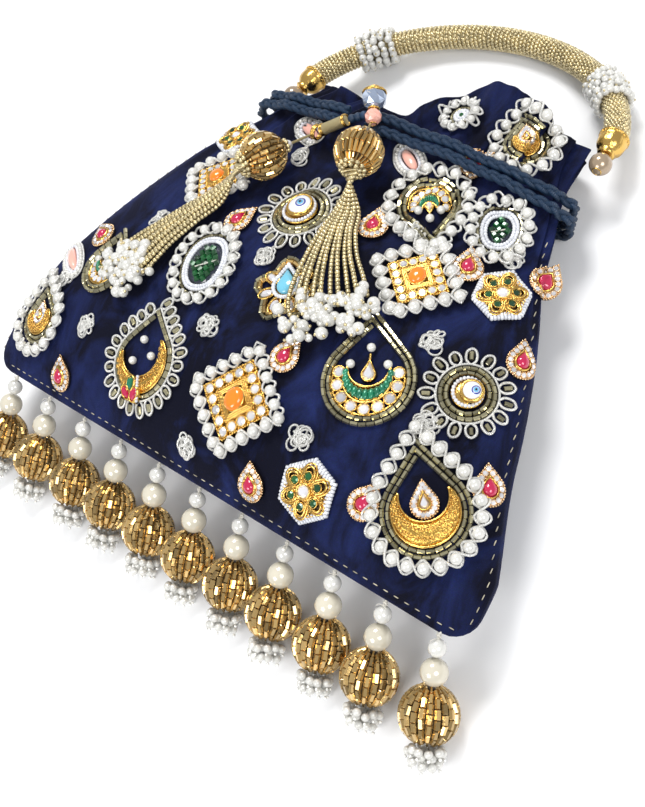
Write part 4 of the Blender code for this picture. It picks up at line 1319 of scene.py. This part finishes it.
def smooth_line(points, steps):
    """A line through points, rounded between them."""
    line = []
    for number in range(len(points) - 1):
        a = points[max(0, number - 1)]
        b, c = points[number], points[number + 1]
        d = points[min(len(points) - 1, number + 2)]
        for step in range(steps):
            t = step / steps
            line.append(0.5 * ((2 * b) + (c - a) * t + (2 * a - 5 * b + 4 * c - d) * t * t
                               + (3 * b - a - 3 * c + d) * t ** 3))
    return line + [points[-1].copy()]


def cord_tassel(side):
    joint_at, ball_at, route, spreads = CORD_TASSELS[side]
    work = Work(len(side))
    dice = work.dice
    away = (ball_at - joint_at).normalized()
    board = standing(ball_at, away)
    name = "cord_tassel_" + side
    radius = 9.4
    if side == "left":
        pipe_ball(work, board, radius, 22, 18, 160, 3.6, "bugle_gold")
    else:
        pipe_ball(work, board, radius, 26, 16, 162, 4.9, "bugle_gold", stagger=False)
    for height, ring, count in ((radius + 0.6, 2.0, 7), (-radius - 0.2, 3.4, 10), (-radius + 0.8, 4.6, 13)):
        for i in range(count):
            turn = math.tau * i / count
            work.bead("seed", "seed_champagne", board @ turned_at(ring, turn, height), 1.0)
    neck = ball_at.lerp(joint_at, 0.45)
    work.bead("pearl", "clear_stone", neck, 2.0)
    work.wire("gold_thread", 0.5, [ball_at - away * 9, ball_at.lerp(joint_at, 0.9)])
    work.made("beaded_{}_ball".format(name), name, "gold_beads", name + "_ball")
    work = Work(len(side) + 10)
    start = ball_at + away * (radius - 0.4)
    strands = 10
    ends = []
    for number in range(strands):
        share = (number / (strands - 1) - 0.5) * 2
        long = 0.78 + 0.2 * dice.random()
        points = [start + Vector((share * 2.2, share * 1.2, 0))]
        for index, (x, y) in enumerate(route):
            before = Vector(route[max(0, index - 1)])
            after = Vector(route[min(len(route) - 1, index + 1)])
            way = (after - before).normalized()
            across = Vector((way.y, -way.x)) * share * spreads[index + 1] * 0.92
            spot = Vector((x, y)) + across
            layer = (1 - share * share) * 1.7 * (1 - index / 6) + 0.7 * (number % 2)
            points.append(Vector((spot.x, spot.y, front_z(spot.x, spot.y) + 4.9 + layer)))
        line = smooth_line(points, 10)
        line = line[:int(len(line) * long)]
        spacing, left = 1.62, 0.0
        for a, b in zip(line, line[1:]):
            step = (b - a).length
            while left < step:
                at = a.lerp(b, left / step)
                work.bead("barrel", "seed_champagne", at, (1.5, 0.92, 0.92), b - a, UP)
                left += spacing
            left -= step
        ends.append((line[-1], (line[-1] - line[-3]).normalized()))
    for end, way in ends:
        for number in range(7):
            spread = Vector((dice.gauss(0, 2.1), dice.gauss(0, 2.1), 0))
            size = dice.choice((1.5, 1.8, 2.0, 2.3))
            at = end + way * (number * 1.9 - 3.5) + spread
            ground = front_z(at.x, at.y) + size + 3.2
            at.z = ground + dice.uniform(-0.6, 2.2)
            work.bead("pearl", "pearl_white", at, size)
            pin = at + Vector((dice.uniform(-1, 1), dice.uniform(-1, 1), 0.3)).normalized() * (size + 0.4)
            work.bead("seed", "seed_champagne", pin, 0.62)
    work.made("beaded_{}_strands".format(name), name, "gold_beads", name + "_strands")


# Handle

SIDE_BEAD, HANDLE_R, HANDLE_REACH, HANDLE_SWAY, HANDLE_Z, HANDLE_TOP = 4.2, 5.0, 53.5, 4.0, 19.0, 5.6


def side_bead_at(side):
    height = 171 if side > 0 else 159
    edge = max(side * centre_x(at) + half_width(at) + gather_depth(at)
               for at in (height + share * SIDE_BEAD for share in (-0.8, -0.4, 0, 0.5)))
    return Vector((side * (edge + SIDE_BEAD + 0.3), HEM_Y + height, HANDLE_Z))


def handle_point(angle):
    left, right = side_bead_at(-1), side_bead_at(1)
    axis = (right - left).normalized()
    level = axis.cross(-UP).normalized()
    fall = (HANDLE_Z - HANDLE_TOP) / HANDLE_REACH
    outward = level * math.sqrt(1 - fall * fall) - UP * fall
    across = (right - left).length / 2 * math.cos(angle) + HANDLE_SWAY * math.sin(angle)
    return (left + right) / 2 + axis * across + outward * HANDLE_REACH * math.sin(angle)


def handle_frame(angle):
    way = (handle_point(angle + 0.01) - handle_point(angle - 0.01)).normalized()
    side = way.cross(UP).normalized()
    return handle_point(angle), way, side, side.cross(way)


BELL_PROFILE = [(0, -4.4), (2.6, -4.5), (3.3, -5.0), (2.8, -5.8), (3.6, -6.6), (4.7, -7.6), (5.3, -9.2),
                (5.5, -11.2), (5.55, -12.6), (5.8, -12.9), (5.8, -13.3), (5.4, -13.4), (0, -13.4)]


def make_handle():
    work = Work(5)
    start = math.asin((SIDE_BEAD + 0.3 + 9 + 0.4) / HANDLE_REACH)
    core = [handle_point(start + (math.pi - 2 * start) * i / 60) for i in range(61)]
    work.wire("seed_champagne", HANDLE_R - 1.0, core, sides=16)
    lengths = sum((b - a).length for a, b in zip(core, core[1:]))
    rings, around = int(lengths / 1.72), 19
    for ring in range(rings + 1):
        centre, way, side, up = handle_frame(start + (math.pi - 2 * start) * ring / rings)
        for i in range(around):
            turn = math.tau * (i + 0.5 * (ring % 2)) / around
            out = side * math.cos(turn) + up * math.sin(turn)
            tangent = way * 0.75 + out.cross(way) * (0.66 if ring % 2 else -0.66)
            at = centre + out * (HANDLE_R - 0.85)
            work.bead("dot", "seed_champagne", at, (1.08, 0.74, 0.85), tangent, out)
    work.made("beaded_handle", "handle", "gold_beads", "handle_arch")
    for name, middle in (("right", math.radians(41)), ("left", math.pi - math.radians(41))):
        work = Work(9 + len(name))
        dice = work.dice
        for ring in range(5):
            for i in range(17):
                angle = middle + ((ring - 2) * 2.75 + dice.uniform(-0.5, 0.5)) / HANDLE_REACH
                centre, way, side, up = handle_frame(angle)
                turn = math.tau * (i + 0.5 * (ring % 2) + dice.uniform(-0.25, 0.25)) / 17
                out = side * math.cos(turn) + up * math.sin(turn)
                reach = HANDLE_R + 1.6 + dice.uniform(-0.3, 0.6) - 0.2 * abs(ring - 2)
                at = centre + out * reach
                at.z = max(at.z, 1.7)
                work.bead("pearl", "pearl_white", at, dice.uniform(1.3, 1.75))
                if dice.random() < 0.5:
                    work.bead("dot", "seed_champagne", at + out * 1.2 + way * dice.uniform(-1, 1), 0.55)
        work.made("pearl_cluster_" + name, "handle", "pearl", "pearl_collar_" + name)
    for name, sign, angle in (("right", 1, start), ("left", -1, math.pi - start)):
        bead_at = side_bead_at(sign)
        board = standing(bead_at, handle_point(angle) - bead_at)
        work = Work(3)
        points, faces = lathe(BELL_PROFILE, 36)
        ribbed = []
        for px, py, pz in points:
            deep = 1 - 0.055 * (0.5 + 0.5 * math.cos(12 * math.atan2(py, px))) * (-12.7 < pz < -6)
            ribbed.append(board @ Vector((px * deep, py * deep, pz)))
        work.solid("gold", ribbed, faces)
        for i in range(22):
            turn = math.tau * i / 22
            work.bead("dot", "gold", board @ turned_at(5.35, turn, -12.5), 0.5)
        work.made("bell_cap_" + name, "handle", "gold", "handle_cap_" + name)
        work = Work(4)
        work.bead("pearl_fine", "pearl_bronze", bead_at, SIDE_BEAD)
        for turn in (-1, 1):
            gold_hoop(work, board, board @ Vector((0, 0, turn * SIDE_BEAD * 0.9)), 1.6)
        work.made("bronze_bead_" + name, "bag", "bronze_pearl", "side_bead_" + name)


# Drawstrings and what is at the neck's middle

def braid(work, line, radius):
    """Three strands plaited along a line."""
    reach = [0.0]
    for a, b in zip(line, line[1:]):
        reach.append(reach[-1] + (b - a).length)
    for strand in range(3):
        path = []
        for number, at in enumerate(line):
            before, after = line[max(0, number - 1)], line[min(len(line) - 1, number + 1)]
            way = (after - before).normalized()
            centre_out = Vector((at.x, 0, at.z - 22)).normalized()
            up = (centre_out - way * centre_out.dot(way)).normalized()
            side = way.cross(up)
            phase = reach[number] / (radius * 3.9) * math.tau / 2 + math.tau * strand / 3
            path.append(at + side * math.sin(phase) * radius * 0.56
                        + up * math.sin(2 * phase) * radius * 0.33)
        work.wire("cord_thread", radius * 0.56, path, sides=7)


CORD_START, CORD_END, CORD_GAP, CORD_OUTSET = 98.0, -253.0, 0.9, 2.1 + 0.9 + 1.2


def drawstring_line(height):
    """The middle of a cord on its way round the neck, in degrees from start to end."""
    turn = CORD_END - CORD_START
    steps = int(5.2 * abs(turn) / 4 / CORD_GAP)
    line = []
    for step in range(steps + 1):
        angle = math.radians(CORD_START + turn * step / steps)
        at = section_point(height, angle, CORD_OUTSET)
        at.z = max(at.z, 2.9)
        line.append(at)
    return line


def make_drawstrings():
    for name, side, phase in (("lower", -1, 0.0), ("upper", 1, 1.3)):
        work = Work(6)
        line = drawstring_line(NECK - 1 + side * 2.5)
        for number, at in enumerate(line):
            at.y += 0.5 * math.sin(number * 0.045 + phase)
        braid(work, line, 1.88)
        work.made("braided_cord_" + name, "bag", "cord", "drawstring_" + name)


def make_centre():
    way = Vector((-4.3, 7.7, 0.8)).normalized()
    crystal_at = PEACH_AT + way * ((4.8 + 3.3) * math.cos(math.radians(22)) + 0.3)
    for at, radius, look, node in ((crystal_at, 4.8, "crystal_glass", "crystal_bead"),
                                   (PEACH_AT, 3.3, "peach_stone", "peach_bead")):
        work = Work(8)
        board = standing(at, way)
        profile = [(radius * math.sin(a), radius * math.cos(a)) for a in
                   (math.radians(v) for v in (22, 45, 72, 108, 135, 158))]
        points, faces = lathe(profile, 8)
        turned = []
        for index, point in enumerate(points):
            spin = Matrix.Rotation(math.radians(22.5 * (index // 8 % 2)), 3, "Z")
            turned.append(board @ (spin @ Vector(point)))
        work.solid(look, turned, faces, smooth=False)
        for end in (-1, 1):
            gold_hoop(work, board, board @ Vector((0, 0, end * radius * 0.92)), radius * 0.42)
        if node == "crystal_bead":
            gold_hoop(work, board, board @ Vector((0, 0, -radius * 0.5)), radius * 0.86)
        work.made("faceted_" + node, "bag", "crystal" if node == "crystal_bead" else "peach", node)
    start, end = FERRULE
    work = Work(8)
    work.wire("gold_thread", 2.2, [start.lerp(end, i / 20) for i in range(21)], sides=16)
    for share in (0.0, 0.06, 0.93, 1.0):
        at = start.lerp(end, share)
        gold_hoop(work, standing(at, end - start), at, 2.2)
    for at in [start.lerp(Vector((-14, 69, 44.5)), i / 3) for i in range(1, 4)]:
        work.bead("pearl", "cord_thread", at, 1.7)
    work.made("wound_ferrule", "bag", "gold", "gold_ferrule")
    work = Work(8)
    for step in (-0.62, 0, 0.62):
        work.bead("hoop", "gold", RING_AT + Vector((step, 0, 0)), 2.75, Vector((0, 1, 0)), Vector((1, 0, 0)))
    work.made("link_rings", "bag", "gold", "gold_ring")


def make_stitches():
    """A fine running stitch in pale thread, just inside the bottom seam and the side seams."""
    work = Work(12)
    stitch = (1.9, 0.2, 0.16)
    for step in range(-27, 28):
        x = step * 4.2
        y = HEM_Y + 2.4 + hem_setback(x)
        at = Vector((x, y, front_z(x, y) + 0.1))
        ahead = Vector((x + 2, y, front_z(x + 2, y) + 0.1))
        work.bead("barrel", "stitch", at, stitch, ahead - at, UP)
    for side, angle in ((1, math.radians(9)), (-1, math.radians(171))):
        for step in range(31):
            height = 8 + step * 4.2
            at, ahead = section_point(height, angle, 0.05), section_point(height + 2, angle, 0.05)
            work.bead("barrel", "stitch", at, stitch, ahead - at, Vector((side, 0, 0.4)))
    work.made("running_stitch", "bag", "velvet")


make_pouch()
make_stitches()
make_motifs()
for tassel_number in range(11):
    tassel(tassel_number)
for tassel_side in CORD_TASSELS:
    cord_tassel(tassel_side)
make_handle()
make_drawstrings()
make_centre()
for leftover in SHAPES.values():
    bpy.data.objects.remove(leftover)


# Floor, light and camera

LAMPS = (("key", (-0.25, 0.5, 0.85), 0.4, 7.0), ("fill", (0.75, -0.1, 0.7), 0.5, 4.0),
         ("front", (0.05, -0.7, 0.55), 0.4, 3.0))
CAMERA_AT, LENS, SENSOR = (0.2736, -0.0880, 0.3890), 55.33, 36.0


def make_stage():
    floor_material = bpy.data.materials.new("studio_floor")
    floor_material.use_nodes = True
    shader = floor_material.node_tree.nodes["Principled BSDF"]
    shader.inputs["Roughness"].default_value = 0.9
    shader.inputs["Base Color"].default_value = (0.93, 0.93, 0.935, 1)
    data = bpy.data.meshes.new("floor")
    reach = 3.0
    data.from_pydata([(-reach, -reach, 0), (reach, -reach, 0), (reach, reach, 0), (-reach, reach, 0)], [],
                     [(0, 1, 2, 3)])
    data.materials.append(floor_material)
    floor = bpy.data.objects.new("floor", data)
    bpy.context.scene.collection.objects.link(floor)
    world = bpy.context.scene.world or bpy.data.worlds.new("studio")
    bpy.context.scene.world = world
    world.use_nodes = True
    world.node_tree.nodes["Background"].inputs["Color"].default_value = (0.95, 0.97, 1.0, 1)
    world.node_tree.nodes["Background"].inputs["Strength"].default_value = 0.55
    for name, at, size, power in LAMPS:
        light = bpy.data.lights.new(name, "AREA")
        light.shape, light.size, light.energy = "DISK", size, power
        lamp = bpy.data.objects.new(name, light)
        lamp.location = at
        lamp.rotation_euler = (Vector((0, 0, 0.02)) - lamp.location).to_track_quat("-Z", "Y").to_euler()
        bpy.context.scene.collection.objects.link(lamp)


def make_camera():
    right = Vector((0.73821, 0.52666, -0.42152))
    up = Vector((-0.37872, 0.84068, 0.38709))
    back = Vector((0.55822, -0.12611, 0.82005))
    camera = bpy.data.objects.new("camera", bpy.data.cameras.new("camera"))
    camera.data.lens, camera.data.sensor_width = LENS, SENSOR
    camera.matrix_world = Matrix.Translation(CAMERA_AT) @ Matrix(
        (right, up, back)).transposed().to_4x4()
    camera.data.clip_start, camera.data.clip_end = 0.01, 20
    bpy.context.scene.collection.objects.link(camera)
    bpy.context.scene.camera = camera


make_stage()
make_camera()
bpy.context.scene.view_settings.view_transform = "Standard"
